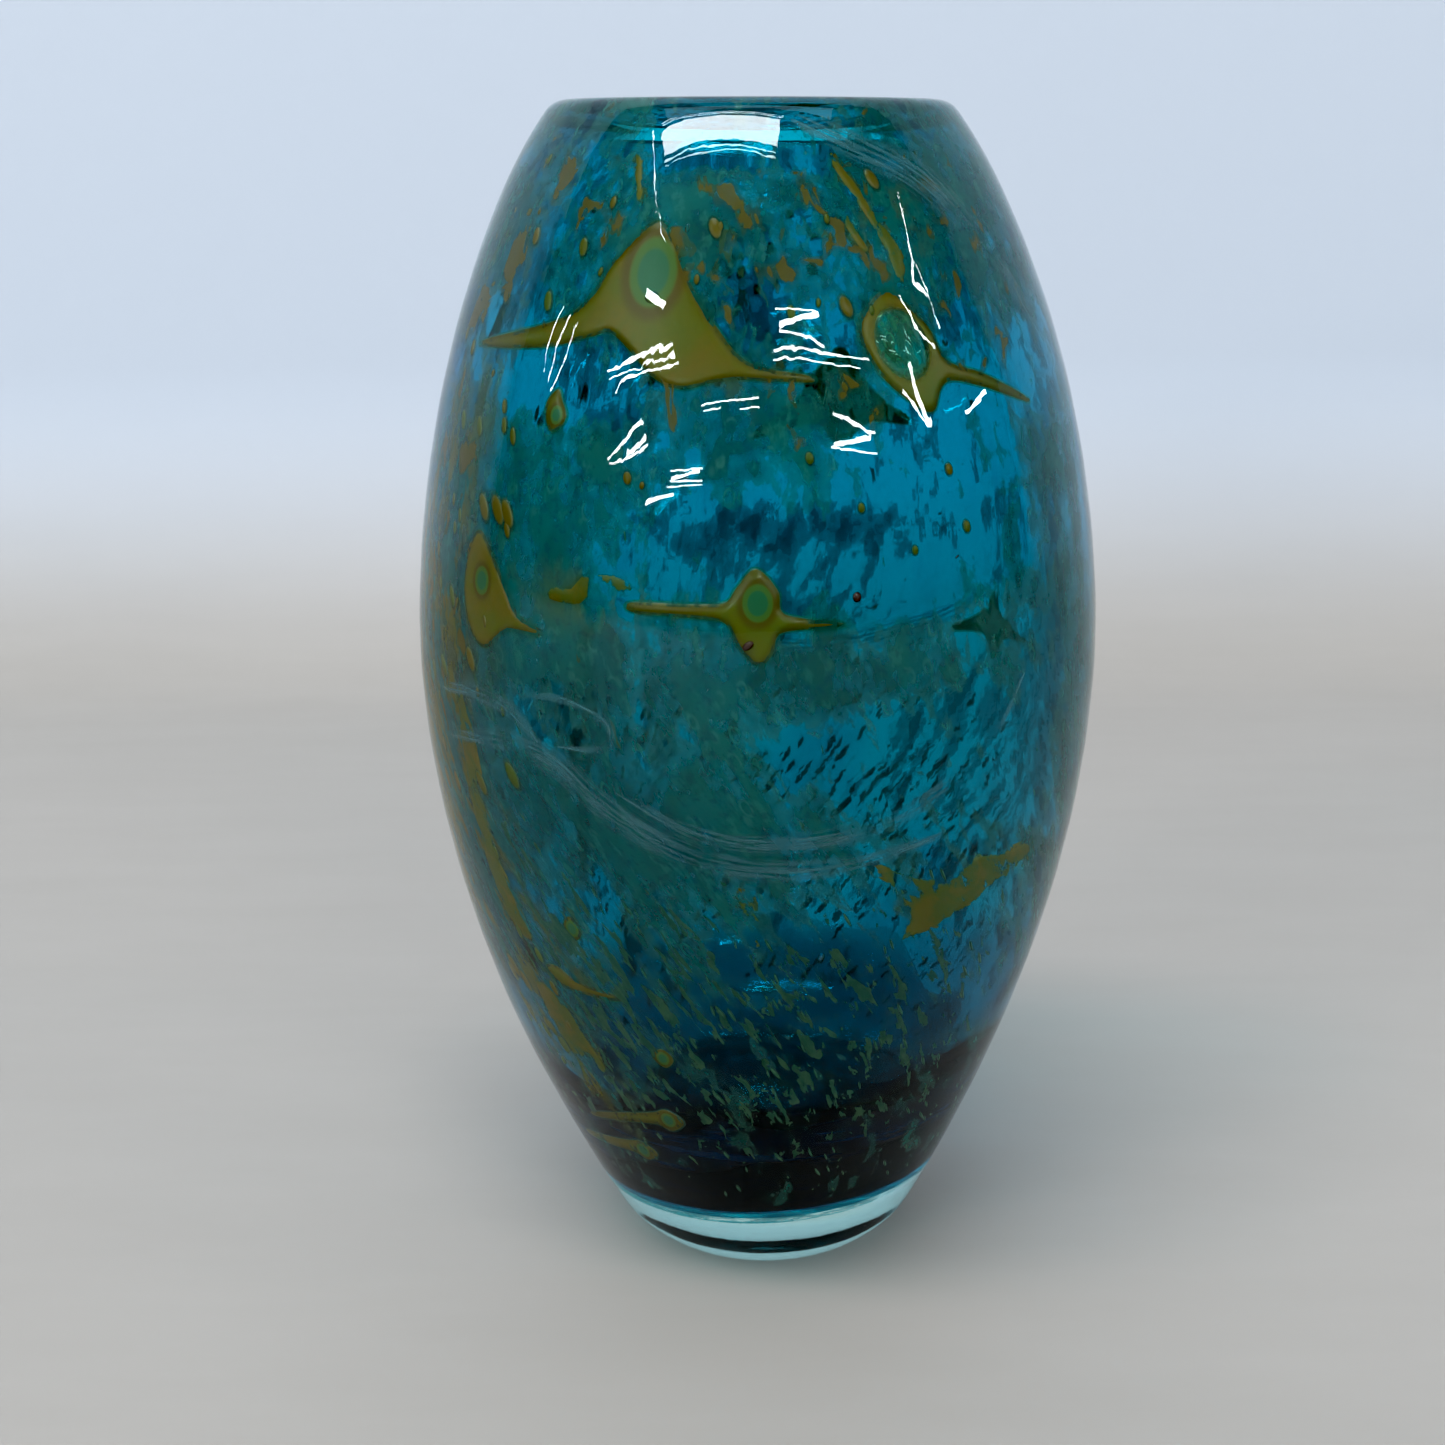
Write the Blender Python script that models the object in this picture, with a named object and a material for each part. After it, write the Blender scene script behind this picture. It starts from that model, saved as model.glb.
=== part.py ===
"""Hand-blown art glass vase, built from its separate gathers and chips of glass.

Heights, radii and depths are in millimetres until the last step, which scales the
finished meshes to metres.  +Z is up and the origin is under the middle of the foot.
Angles go round the vase from the front (-Y) towards +X.
"""
import math

import bmesh
import bpy

MM = 0.001                  # metres in a millimetre
GAP = 0.3                   # clearance kept between two layers that touch
WINDOW_MARGIN = 0.4         # clearance between a chip and its window in the veil

# ---- the blown shape ----
BELLY_RADIUS = 48.0         # widest radius of the body
BELLY_HEIGHT = 91.0         # height of the widest ring
LOWER_REACH = 122.0         # distance below the belly at which the lower curve would close
LOWER_POWER = 1.88
UPPER_REACH = 87.5          # distance above the belly at which the shoulder would close
UPPER_POWER = 1.79
UPPER_ROOT = 2.15
FOOT_FLAT_RADIUS = 17.5     # ground and polished flat under the foot
HEEL_HEIGHT = 5.1           # rounding between that flat and the side
LIP_HEIGHT = 162.8          # where the outer wall turns into the fire-polished lip
LIP_THICKNESS = 7.6
LIP_SWELL = 16.0            # height over which the wall thickens towards the lip
MOUTH_DROP = 0.4            # the mouth hangs this much lower on +X and higher on -X
MOUTH_DROP_FROM = 110.0     # height from which that slant grows
FOOT_SHIFT = 0.45           # the foot stands this far off the axis, towards +X
FOOT_SHIFT_BELOW = 40.0     # height below which that shift grows

# ---- depth of each layer under the outer surface ----
CASING_THICKNESS = 1.8
VEIL_THICKNESS = 0.7
OVERLAY_THICKNESS = 0.9
BASE_CUP_THICKNESS = 1.0
WALL_THICKNESS = 6.2

# ---- heights of the closed bottoms ----
FOOT_TOP = 10.2             # clear foot below, coloured cups above
VEIL_FLOOR = FOOT_TOP + GAP
OVERLAY_FLOOR = VEIL_FLOOR + VEIL_THICKNESS + GAP
BASE_CUP_FLOOR = OVERLAY_FLOOR + OVERLAY_THICKNESS + GAP
LINING_FLOOR = BASE_CUP_FLOOR + BASE_CUP_THICKNESS + GAP
CAVITY_FLOOR = 20.0
BASE_CUP_TOP = 36.0         # upper edge of the dark cup at the bottom
BASE_CUP_TAPER = 9.0        # height over which the lining makes room for it
COLOUR_TOP = 158.6          # the coloured layers end here, inside the clear lip
CUP_CORNER = 3.0            # rounding of the coloured cups' lower corners
CAVITY_CORNER = 14.0        # rounding of the cavity's bottom

SEGMENTS = 36               # facets round the vase
LOWER_ROWS = 3              # rings up each wall as far as the base cup's edge
MIDDLE_ROWS = 5             # rings from there to the belly
UPPER_ROWS = 6              # rings from the belly to the top of the colour
CORNER_ROWS = 3
LIP_ROWS = 6
CURVE_STEPS = 2             # points added between two corners of a chip's outline

# ---- chips of ochre glass: corners of each melted outline, (degrees, height) ----
CHIP_OUTLINES = {
    "ochre_kite_drop": [
        (-20.5, 149.5), (-28, 145), (-31, 141.5), (-35, 139), (-42, 137.2), (-59, 134.6), (-59, 134),
        (-41, 134.8), (-30.5, 136.4), (-26.5, 137), (-22, 135), (-17, 132), (-12, 130.9), (-4, 132),
        (9, 131.6), (9, 132.2), (-1, 133.8), (-7, 138), (-11.6, 142.4), (-16, 147.5)],
    "ochre_ring_drop": [
        (26.5, 141.5), (21.5, 140), (19, 137), (21.5, 132.7), (26, 129.4), (31, 127.4), (33.5, 130),
        (36.5, 130.8), (44, 129.5), (54.5, 127), (54.5, 127.5), (44, 131), (36, 133), (33, 137)],
    "ochre_eye_drop": [
        (0, 110.2), (-2.9, 108), (-4.6, 106.3), (-9, 106), (-19, 105.9), (-19, 104.9), (-9, 104.5),
        (-4.6, 103.9), (-2.8, 101.2), (0, 98.9), (2.2, 100.1), (3.8, 102.8), (12.3, 103.1),
        (12.3, 103.6), (4.2, 104.8), (3.2, 107.6)],
    "ochre_smear": [
        (-34, 107.4), (-30, 107.2), (-27, 109.3), (-20, 109.2), (-18.5, 107.4), (-21, 106.9),
        (-25, 107.6), (-28, 105), (-34, 105.2)],
    "ochre_edge_drop": [
        (-50.4, 112), (-44.7, 107.2), (-40.4, 102.7), (-36.2, 101.5), (-36.2, 100.6), (-42.6, 100.5),
        (-48.2, 97.6), (-52.4, 99.6), (-54.4, 104.2), (-53.6, 109.4)],
    "ochre_small_drip": [
        (-35.8, 130), (-37.8, 128.2), (-36.8, 125.7), (-35, 125.3), (-33.4, 127), (-34.6, 128.8)],
    "ochre_left_streak": [
        (-57, 91), (-53.5, 89), (-51, 81), (-50.8, 70), (-48, 62), (-45.6, 57.4), (-47.6, 56.6),
        (-52, 59), (-55, 66), (-56.5, 76)],
    "ochre_low_splash": [
        (-49.5, 50), (-44, 49.2), (-40, 46), (-37.5, 42), (-35, 37.8), (-36.8, 36.4), (-39.6, 38.6),
        (-41.8, 37.6), (-42, 33.6), (-44.4, 33.4), (-45, 38.5), (-47.8, 43)],
    "ochre_dot": [
        (-34.5, 62.6), (-36.3, 61), (-34.4, 59.2), (-32.7, 60.8)],
    "ochre_comet": [
        (-44, 53.2), (-41, 53.8), (-38, 52.8), (-34, 52), (-27.6, 51.5), (-27.6, 50.7),
        (-34.5, 50.6), (-38.5, 50.6), (-41.6, 51.2)],
    "ochre_seed_ring": [
        (-20.1, 43.7), (-22.3, 42.2), (-20, 40.7), (-18, 42.2)],
    "ochre_high_tadpole": [
        (-22.2, 32.6), (-26, 31.6), (-36, 29.8), (-47, 27.6), (-47, 27), (-35, 28.6), (-26, 29.6),
        (-22, 28.9), (-18.6, 30.8)],
    "ochre_low_tadpole": [
        (-33.2, 24.9), (-38, 24.2), (-56, 22), (-56, 21.2), (-38, 22.2), (-33, 21.5), (-29, 23.3)],
    "ochre_right_cloud": [
        (18, 72.8), (25, 70.6), (32, 68.4), (38, 70.4), (47, 69.8), (55, 69.4), (53.5, 65.6),
        (45, 65.2), (37, 62.6), (24.6, 60), (25.5, 64), (20.5, 69)],
    "ochre_mid_trail": [
        (-5, 71.6), (-2, 70), (0, 66), (1.6, 61), (3, 55), (1.6, 55), (-0.9, 61), (-3.8, 68)],
    "ochre_shoulder_trail": [
        (17.5, 158), (22.5, 154.8), (27, 150), (31, 146), (29.8, 142), (28, 142.4), (26.6, 146),
        (23.6, 150.2), (18.5, 155.4)],
    "ochre_shoulder_drip": [
        (17.8, 152.2), (19.6, 151.6), (21.4, 148.8), (23.6, 146.4), (22, 145.8), (18.6, 149)],
    "ochre_neck_trail": [
        (-29, 158), (-26.4, 157.6), (-25.2, 155), (-23.8, 152.4), (-26, 151.4), (-27.6, 154.6)],
    "ochre_back_drop": [
        (158, 128), (152, 122), (141, 117), (153, 116.6), (160, 112), (166, 116), (181, 113.4),
        (169, 120), (164, 125)],
    "ochre_back_eye": [
        (117, 92.3), (113.4, 89.2), (101, 87.6), (112.6, 86.2), (117, 81.8), (121.2, 85.6),
        (132, 84.4), (121.6, 88.4)],
    "ochre_back_streak": [
        (219, 84), (224, 82), (228, 70), (233, 58), (236, 48), (232.6, 48), (227, 58), (221, 70)],
}

# base colour, roughness, transmission of the glass in each group
GLASS = {
    "clear_glass": ((0.80, 0.93, 0.92), 0.03, 1.0),
    "turquoise_glass": ((0.01, 0.36, 0.55), 0.05, 0.8),
    "amethyst_glass": ((0.03, 0.01, 0.06), 0.05, 0.5),
    "sage_frit": ((0.22, 0.44, 0.40), 0.25, 0.1),
    "ochre_glass": ((0.44, 0.33, 0.03), 0.15, 0.2),
}


def glass_material(name):
    colour, roughness, transmission = GLASS[name]
    material = bpy.data.materials.new(name)
    material.use_nodes = True
    shader = material.node_tree.nodes["Principled BSDF"]
    shader.inputs["Base Color"].default_value = (*colour, 1.0)
    shader.inputs["Roughness"].default_value = roughness
    shader.inputs["Metallic"].default_value = 0.0
    shader.inputs["IOR"].default_value = 1.5
    shader.inputs["Transmission Weight"].default_value = transmission
    return material


def smooth_step(value):
    """Rise from 0 to 1 with level ends."""
    value = min(max(value, 0.0), 1.0)
    return value * value * (3.0 - 2.0 * value)


# ---- the surfaces of revolution that all the layers share ----

def outer_radius(height):
    """Radius of the blown shape, without the heel and the lip."""
    if height < BELLY_HEIGHT:
        return BELLY_RADIUS * (1.0 - ((BELLY_HEIGHT - height) / LOWER_REACH) ** LOWER_POWER)
    rise = ((height - BELLY_HEIGHT) / UPPER_REACH) ** UPPER_POWER
    return BELLY_RADIUS * (1.0 - rise) ** (1.0 / UPPER_ROOT)


def outer_slope(height):
    step = 0.05
    return (outer_radius(height + step) - outer_radius(height - step)) / (2.0 * step)


def buried_radius(height, depth):
    """Radius of the surface that lies depth below the outer one, square to it."""
    return outer_radius(height) - depth * math.hypot(1.0, outer_slope(height))


def spread(low, high, count):
    return [low + (high - low) * i / (count - 1) for i in range(count)]


def ring_heights(bottom, top):
    """Heights of the rings up a wall; above the base cup they are the same for all layers."""
    lower = spread(bottom, BASE_CUP_TOP, LOWER_ROWS)
    if top <= BASE_CUP_TOP:
        return lower
    middle = spread(BASE_CUP_TOP + BASE_CUP_TAPER, BELLY_HEIGHT, MIDDLE_ROWS)
    return lower + middle[:-1] + spread(BELLY_HEIGHT, top, UPPER_ROWS)


def cup_side(depth_at, floor, corner, top):
    """Profile of a cup: from its middle along the floor, round the corner, up to the top.

    depth_at gives the layer's depth at a height.
    """
    points = [(0.0, floor)]
    corner_radius = buried_radius(floor + corner, depth_at(floor + corner))
    points.append((0.55 * corner_radius, floor))
    for i in range(CORNER_ROWS):
        turn = 0.5 * math.pi * (i + 0.5) / CORNER_ROWS
        height = floor + corner * (1.0 - math.cos(turn))
        wall = buried_radius(height, depth_at(height))
        points.append((wall - corner * (1.0 - math.sin(turn)), height))
    return points + wall_side(depth_at, floor + corner, top)


def wall_side(depth_at, bottom, top):
    """Profile of a wall that is open at the bottom."""
    return [(buried_radius(height, depth_at(height)), height)
            for height in ring_heights(bottom, top)]


def lip_arc():
    """Fire-polished lip: a half circle from the outer wall over to the cavity."""
    slope = outer_slope(LIP_HEIGHT)
    length = math.hypot(1.0, slope)
    up = (slope / length, 1.0 / length)
    inward = (-up[1], up[0])
    start = (outer_radius(LIP_HEIGHT), LIP_HEIGHT)
    half = 0.5 * LIP_THICKNESS
    points = []
    for i in range(1, LIP_ROWS + 1):
        turn = math.pi * i / LIP_ROWS
        across = half * (1.0 - math.cos(turn))
        along = half * math.sin(turn)
        points.append((start[0] + inward[0] * across + up[0] * along,
                       start[1] + inward[1] * across + up[1] * along))
    return points


def cavity_depth(height):
    """Wall thickness, which grows a little towards the lip."""
    swell = smooth_step((height - (LIP_HEIGHT - LIP_SWELL)) / LIP_SWELL)
    return WALL_THICKNESS + (LIP_THICKNESS - WALL_THICKNESS) * swell


def constant_depth(depth):
    return lambda height: depth


VEIL_OUTSIDE = CASING_THICKNESS + GAP
VEIL_INSIDE = VEIL_OUTSIDE + VEIL_THICKNESS
OVERLAY_OUTSIDE = VEIL_INSIDE + GAP
OVERLAY_INSIDE = OVERLAY_OUTSIDE + OVERLAY_THICKNESS
BASE_CUP_OUTSIDE = OVERLAY_INSIDE + GAP
BASE_CUP_INSIDE = BASE_CUP_OUTSIDE + BASE_CUP_THICKNESS


def lining_depth(height):
    """Outside of the clear lining, which steps in around the dark base cup."""
    room = smooth_step((BASE_CUP_TOP + BASE_CUP_TAPER - height) / BASE_CUP_TAPER)
    return BASE_CUP_OUTSIDE + (BASE_CUP_INSIDE + GAP - BASE_CUP_OUTSIDE) * room


# ---- solids ----

def finish(name, bm, material_name):
    """Slant the mouth, shift the foot, scale to metres and put the mesh in the scene."""
    for vertex in bm.verts:
        rise = smooth_step((vertex.co.z - MOUTH_DROP_FROM) / (LIP_HEIGHT - MOUTH_DROP_FROM))
        vertex.co.z -= MOUTH_DROP * rise * vertex.co.x / outer_radius(LIP_HEIGHT)
        vertex.co.x += FOOT_SHIFT * smooth_step(1.0 - vertex.co.z / FOOT_SHIFT_BELOW)
        vertex.co *= MM
    bmesh.ops.triangulate(bm, faces=bm.faces[:])
    bmesh.ops.recalc_face_normals(bm, faces=bm.faces[:])
    mesh = bpy.data.meshes.new(name)
    bm.to_mesh(mesh)
    bm.free()
    mesh.shade_smooth()
    mesh.set_sharp_from_angle(angle=math.radians(40))
    mesh.materials.append(MATERIALS[material_name])
    piece = bpy.data.objects.new(name, mesh)
    bpy.context.collection.objects.link(piece)
    return piece


def turned(profile, closed):
    """Turn a profile of (radius, height) points about the vase's axis."""
    bm = bmesh.new()
    verts = [bm.verts.new((radius, 0.0, height)) for radius, height in profile]
    pairs = list(zip(verts, verts[1:]))
    if closed:
        pairs.append((verts[-1], verts[0]))
    edges = [bm.edges.new(pair) for pair in pairs]
    bmesh.ops.spin(bm, geom=verts + edges, cent=(0, 0, 0), axis=(0, 0, 1), angle=2.0 * math.pi,
                   steps=SEGMENTS, use_merge=True)
    bmesh.ops.remove_doubles(bm, verts=bm.verts[:], dist=0.001)
    bmesh.ops.recalc_face_normals(bm, faces=bm.faces[:])
    return bm


def clear_foot():
    """Thick clear disc with a rounded heel and a flat, ground underside."""
    profile = [(0.0, 0.0), (FOOT_FLAT_RADIUS, 0.0)]
    for i in range(1, CORNER_ROWS + 1):
        height = HEEL_HEIGHT * (1.0 - math.cos(0.5 * math.pi * i / CORNER_ROWS))
        share = math.sqrt(1.0 - (1.0 - height / HEEL_HEIGHT) ** 2)
        radius = FOOT_FLAT_RADIUS + (outer_radius(height) - FOOT_FLAT_RADIUS) * share
        profile.append((radius, height))
    profile.append((outer_radius(0.5 * (HEEL_HEIGHT + FOOT_TOP)), 0.5 * (HEEL_HEIGHT + FOOT_TOP)))
    profile.append((outer_radius(FOOT_TOP), FOOT_TOP))
    profile.append((0.0, FOOT_TOP))
    return finish("clear_foot", turned(profile, closed=False), "clear_glass")


def outer_casing():
    """Clear outer gather; its fire-polished lip closes over the ends of the other layers."""
    bottom = FOOT_TOP + GAP
    outside = wall_side(constant_depth(0.0), bottom, COLOUR_TOP)
    outside.append((outer_radius(LIP_HEIGHT), LIP_HEIGHT))
    inner_lip = lip_arc()
    seat = COLOUR_TOP + GAP
    last = inner_lip[-1]
    cavity_edge = (buried_radius(seat, cavity_depth(seat)), seat)
    if last[1] > seat:
        inner_lip.append(cavity_edge)
    else:
        inner_lip[-1] = cavity_edge
    inside = wall_side(constant_depth(CASING_THICKNESS), bottom, seat)
    profile = outside + inner_lip + inside[::-1]
    return finish("outer_casing", turned(profile, closed=True), "clear_glass")


def layer_cup(outside_depth, inside_depth, floor, thickness, top):
    """Cup-shaped layer between two depths, open at the top."""
    outside = cup_side(outside_depth, floor, CUP_CORNER, top)
    inside = cup_side(inside_depth, floor + thickness, CUP_CORNER, top)
    return turned(outside + inside[::-1], closed=False)


def turquoise_overlay():
    """The layer that gives the vase its body colour."""
    cup = layer_cup(constant_depth(OVERLAY_OUTSIDE), constant_depth(OVERLAY_INSIDE),
                    OVERLAY_FLOOR, OVERLAY_THICKNESS, COLOUR_TOP)
    return finish("turquoise_overlay", cup, "turquoise_glass")


def amethyst_base_cup():
    """Dark violet cup at the bottom, inside the turquoise."""
    cup = layer_cup(constant_depth(BASE_CUP_OUTSIDE), constant_depth(BASE_CUP_INSIDE),
                    BASE_CUP_FLOOR, BASE_CUP_THICKNESS, BASE_CUP_TOP)
    return finish("amethyst_base_cup", cup, "amethyst_glass")


def inner_lining():
    """Clear gather nearest the blowpipe, blown hollow: it forms the cavity."""
    outside = cup_side(lining_depth, LINING_FLOOR, CUP_CORNER, COLOUR_TOP)
    inside = cup_side(cavity_depth, CAVITY_FLOOR, CAVITY_CORNER, COLOUR_TOP)
    lining = turned(outside + inside[::-1], closed=False)
    return finish("inner_lining", lining, "clear_glass")


def frit_veil_cup():
    return layer_cup(constant_depth(VEIL_OUTSIDE), constant_depth(VEIL_INSIDE),
                     VEIL_FLOOR, VEIL_THICKNESS, COLOUR_TOP)


# ---- ochre chips, melted flush into the frit veil ----

def melted_outline(corners):
    """Closed curve through the corners of a chip, (degrees, height)."""
    points = []
    count = len(corners)
    for i in range(count):
        before, start, end, after = (corners[(i + k) % count] for k in (-1, 0, 1, 2))
        for step in range(CURVE_STEPS):
            t = step / CURVE_STEPS
            weights = (-0.5 * t + t * t - 0.5 * t ** 3,
                       1.0 - 2.5 * t * t + 1.5 * t ** 3,
                       0.5 * t + 2.0 * t * t - 1.5 * t ** 3,
                       -0.5 * t * t + 0.5 * t ** 3)
            points.append(tuple(sum(w * p[axis] for w, p in zip(weights, (before, start, end, after)))
                                for axis in (0, 1)))
    return points


def grown_outline(points, margin):
    """The outline moved outwards by margin along its own normals, in millimetres."""
    middle_height = sum(height for _, height in points) / len(points)
    per_degree = math.radians(1.0) * outer_radius(middle_height)
    flat = [(angle * per_degree, height) for angle, height in points]
    area = sum(a[0] * b[1] - b[0] * a[1] for a, b in zip(flat, flat[1:] + flat[:1]))
    side = 1.0 if area > 0.0 else -1.0
    grown = []
    for i, (across, height) in enumerate(flat):
        previous = flat[i - 1]
        following = flat[(i + 1) % len(flat)]
        run = (following[0] - previous[0], following[1] - previous[1])
        length = math.hypot(*run)
        grown.append(((across + side * margin * run[1] / length) / per_degree,
                      height - side * margin * run[0] / length))
    return grown


def radial_wedge(name, outline):
    """Solid that holds all the glass behind an outline, as a cutting tool."""
    radii = [outer_radius(height) for _, height in outline]
    angles = [degrees for degrees, _ in outline]
    half_span = math.radians(0.5 * (max(angles) - min(angles)))
    near = min(radii) - 1.5 * WALL_THICKNESS
    far = (max(radii) + CASING_THICKNESS) / math.cos(half_span)
    bm = bmesh.new()
    inner, outer = ([bm.verts.new((radius * math.sin(math.radians(degrees)),
                                   -radius * math.cos(math.radians(degrees)), height))
                     for degrees, height in outline] for radius in (near, far))
    for i in range(len(outline)):
        j = (i + 1) % len(outline)
        bm.faces.new((inner[i], inner[j], outer[j]))
        bm.faces.new((inner[i], outer[j], outer[i]))
    bm.faces.new(inner[::-1])
    bm.faces.new(outer)
    bmesh.ops.triangulate(bm, faces=bm.faces[:])
    bmesh.ops.recalc_face_normals(bm, faces=bm.faces[:])
    return loose_object(name, bm)


def loose_object(name, bm):
    mesh = bpy.data.meshes.new(name)
    bm.to_mesh(mesh)
    bm.free()
    piece = bpy.data.objects.new(name, mesh)
    bpy.context.collection.objects.link(piece)
    return piece


def cut(piece, tool, operation):
    """Result of one exact Boolean, as a bmesh; the tool is thrown away."""
    modifier = piece.modifiers.new("cut", "BOOLEAN")
    modifier.operation = operation
    modifier.solver = "EXACT"
    modifier.use_self = True
    modifier.object = tool
    shaped = piece.evaluated_get(bpy.context.evaluated_depsgraph_get())
    bm = bmesh.new()
    bm.from_mesh(shaped.to_mesh())
    piece.modifiers.remove(modifier)
    bpy.data.objects.remove(tool)
    bmesh.ops.remove_doubles(bm, verts=bm.verts[:], dist=0.01)
    bmesh.ops.dissolve_degenerate(bm, edges=bm.edges[:], dist=0.005)
    return bm


def veil_and_chips():
    """Frit veil with a window for each chip, and the chips that fill the windows."""
    whole = loose_object("uncut_veil", frit_veil_cup())
    veil = loose_object("veil_in_work", frit_veil_cup())
    for name, corners in CHIP_OUTLINES.items():
        outline = melted_outline(corners)
        chip = cut(whole, radial_wedge("chip_tool", outline), "INTERSECT")
        finish(name, chip, "ochre_glass")
        opened = cut(veil, radial_wedge("window_tool", grown_outline(outline, WINDOW_MARGIN)), "DIFFERENCE")
        bpy.data.objects.remove(veil)
        veil = loose_object("veil_in_work", opened)
    remaining = bmesh.new()
    remaining.from_mesh(veil.data)
    bpy.data.objects.remove(veil)
    bpy.data.objects.remove(whole)
    finish("frit_veil", remaining, "sage_frit")


for leftover in list(bpy.data.objects):
    bpy.data.objects.remove(leftover)

MATERIALS = {name: glass_material(name) for name in GLASS}

clear_foot()
outer_casing()
inner_lining()
turquoise_overlay()
amethyst_base_cup()
veil_and_chips()
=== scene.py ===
import math

import bpy
import numpy as np
from mathutils import Matrix, Vector
from mathutils.geometry import delaunay_2d_cdt


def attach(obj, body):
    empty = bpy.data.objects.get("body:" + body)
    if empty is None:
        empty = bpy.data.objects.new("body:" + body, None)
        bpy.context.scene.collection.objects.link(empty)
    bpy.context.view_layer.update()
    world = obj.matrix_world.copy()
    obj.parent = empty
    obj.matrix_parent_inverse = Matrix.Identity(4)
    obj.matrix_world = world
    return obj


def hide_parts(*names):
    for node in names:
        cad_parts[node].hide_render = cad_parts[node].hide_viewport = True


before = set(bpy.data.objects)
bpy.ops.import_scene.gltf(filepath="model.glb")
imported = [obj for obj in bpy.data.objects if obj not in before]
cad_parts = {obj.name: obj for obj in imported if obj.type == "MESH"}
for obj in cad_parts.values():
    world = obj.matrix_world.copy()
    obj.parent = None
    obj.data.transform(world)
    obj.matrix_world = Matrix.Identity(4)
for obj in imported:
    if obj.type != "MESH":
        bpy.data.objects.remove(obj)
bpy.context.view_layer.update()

# Heights, radii and depths are in millimetres; angles go round the vase from its front
# (-Y) towards +X, in degrees.  Only the last step of each mesh turns them into metres.
MM = 0.001

# ---- the blown shape, the same as the frame's ----
BELLY_RADIUS = 48.0
BELLY_HEIGHT = 91.0
LOWER_REACH = 122.0
LOWER_POWER = 1.88
UPPER_REACH = 87.5
UPPER_POWER = 1.79
UPPER_ROOT = 2.15
FOOT_FLAT_RADIUS = 17.5
HEEL_HEIGHT = 5.1
LIP_HEIGHT = 162.8
LIP_THICKNESS = 7.6
LIP_SWELL = 16.0            # the wall thickens over this much below the lip
LIP_SETTLE = 0.12           # the rounded lip stays this much under the facets' highest point
MOUTH_DROP = 0.4
MOUTH_DROP_FROM = 110.0
FOOT_SHIFT = 0.45
FOOT_SHIFT_BELOW = 40.0
WALL_THICKNESS = 6.2
CAVITY_FLOOR = 20.0
CAVITY_CORNER = 14.0
COLOUR_TOP = 163.5          # the colour runs on into the rounded lip

# ---- layers inside the wall: depth of outside and inside, and height of the closed bottom ----
VEIL = (2.1, 2.8, 10.5)
OVERLAY = (3.1, 4.0, 11.5)
BASE_CUP = (4.3, 5.3, 12.7)
BASE_CUP_TOP = 36.0
RAGGED_FROM = 22.0          # above this the base cup's wall runs up and down
CUP_CORNER = 3.0

SEGMENTS = 216              # points round each ring


# ======== shape of the glass ========

def smooth_step(value):
    """0 to 1 with a soft start and end."""
    value = np.clip(value, 0.0, 1.0)
    return value * value * (3.0 - 2.0 * value)


def outer_radius(height):
    """Radius of the clear surface, before the ripple."""
    below = np.clip(BELLY_HEIGHT - height, 0.0, None) / LOWER_REACH
    above = np.clip(height - BELLY_HEIGHT, 0.0, None) / UPPER_REACH
    return BELLY_RADIUS * (1.0 - below ** LOWER_POWER) * (1.0 - above ** UPPER_POWER) ** (1.0 / UPPER_ROOT)


def outer_slope(height):
    step = 0.05
    return (outer_radius(height + step) - outer_radius(height - step)) / (2.0 * step)


def buried_radius(height, depth):
    """Radius of a layer at a depth under the outer surface, measured square to it."""
    return outer_radius(height) - depth * np.hypot(1.0, outer_slope(height))


def cavity_depth(height):
    """Thickness of the whole wall, which swells towards the lip."""
    swell = smooth_step((height - (LIP_HEIGHT - LIP_SWELL)) / LIP_SWELL)
    return WALL_THICKNESS + (LIP_THICKNESS - WALL_THICKNESS) * swell


def leaned(points):
    """Slant the mouth and shift the foot as the blown piece has them, and turn to metres."""
    points = np.array(points, dtype=float)
    rise = smooth_step((points[:, 2] - MOUTH_DROP_FROM) / (LIP_HEIGHT - MOUTH_DROP_FROM))
    points[:, 2] -= MOUTH_DROP * rise * points[:, 0] / outer_radius(LIP_HEIGHT)
    points[:, 0] += FOOT_SHIFT * smooth_step(1.0 - points[:, 2] / FOOT_SHIFT_BELOW)
    return points * MM


def smooth_between(t, before, start, end, after):
    """Point at share t of a smooth curve from start to end, given their neighbours."""
    return 0.5 * (2.0 * start + (end - before) * t
                  + (2.0 * before - 5.0 * start + 4.0 * end - after) * t * t
                  + (3.0 * start - before - 3.0 * end + after) * t ** 3)


def round_the_axis(degrees, radius, height):
    angle = np.radians(degrees)
    return np.stack((radius * np.sin(angle), -radius * np.cos(angle), height), axis=-1)


def in_the_wall(degrees, height, depth):
    """Points at a depth under the outer surface, before the lean."""
    return round_the_axis(degrees, buried_radius(height, depth), height)


def new_piece(name, points, faces, material):
    """A smooth mesh of one material, with its place in its points."""
    mesh = bpy.data.meshes.new(name)
    mesh.from_pydata(points.tolist(), [], faces)
    mesh.shade_smooth()
    mesh.materials.append(material)
    piece = bpy.data.objects.new(name, mesh)
    bpy.context.collection.objects.link(piece)
    return piece


def write_values(piece, name, values):
    """A number for every point, which the recipes read by name."""
    layer = piece.data.attributes.new(name, "FLOAT", "POINT")
    layer.data.foreach_set("value", np.asarray(values, dtype=np.float32))


def side_faces(rows, count):
    """Faces between neighbouring rings that hold count points each."""
    return [(row * count + i, (row + 1) * count + i, (row + 1) * count + (i + 1) % count,
             row * count + (i + 1) % count) for row in range(rows - 1) for i in range(count)]


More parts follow.
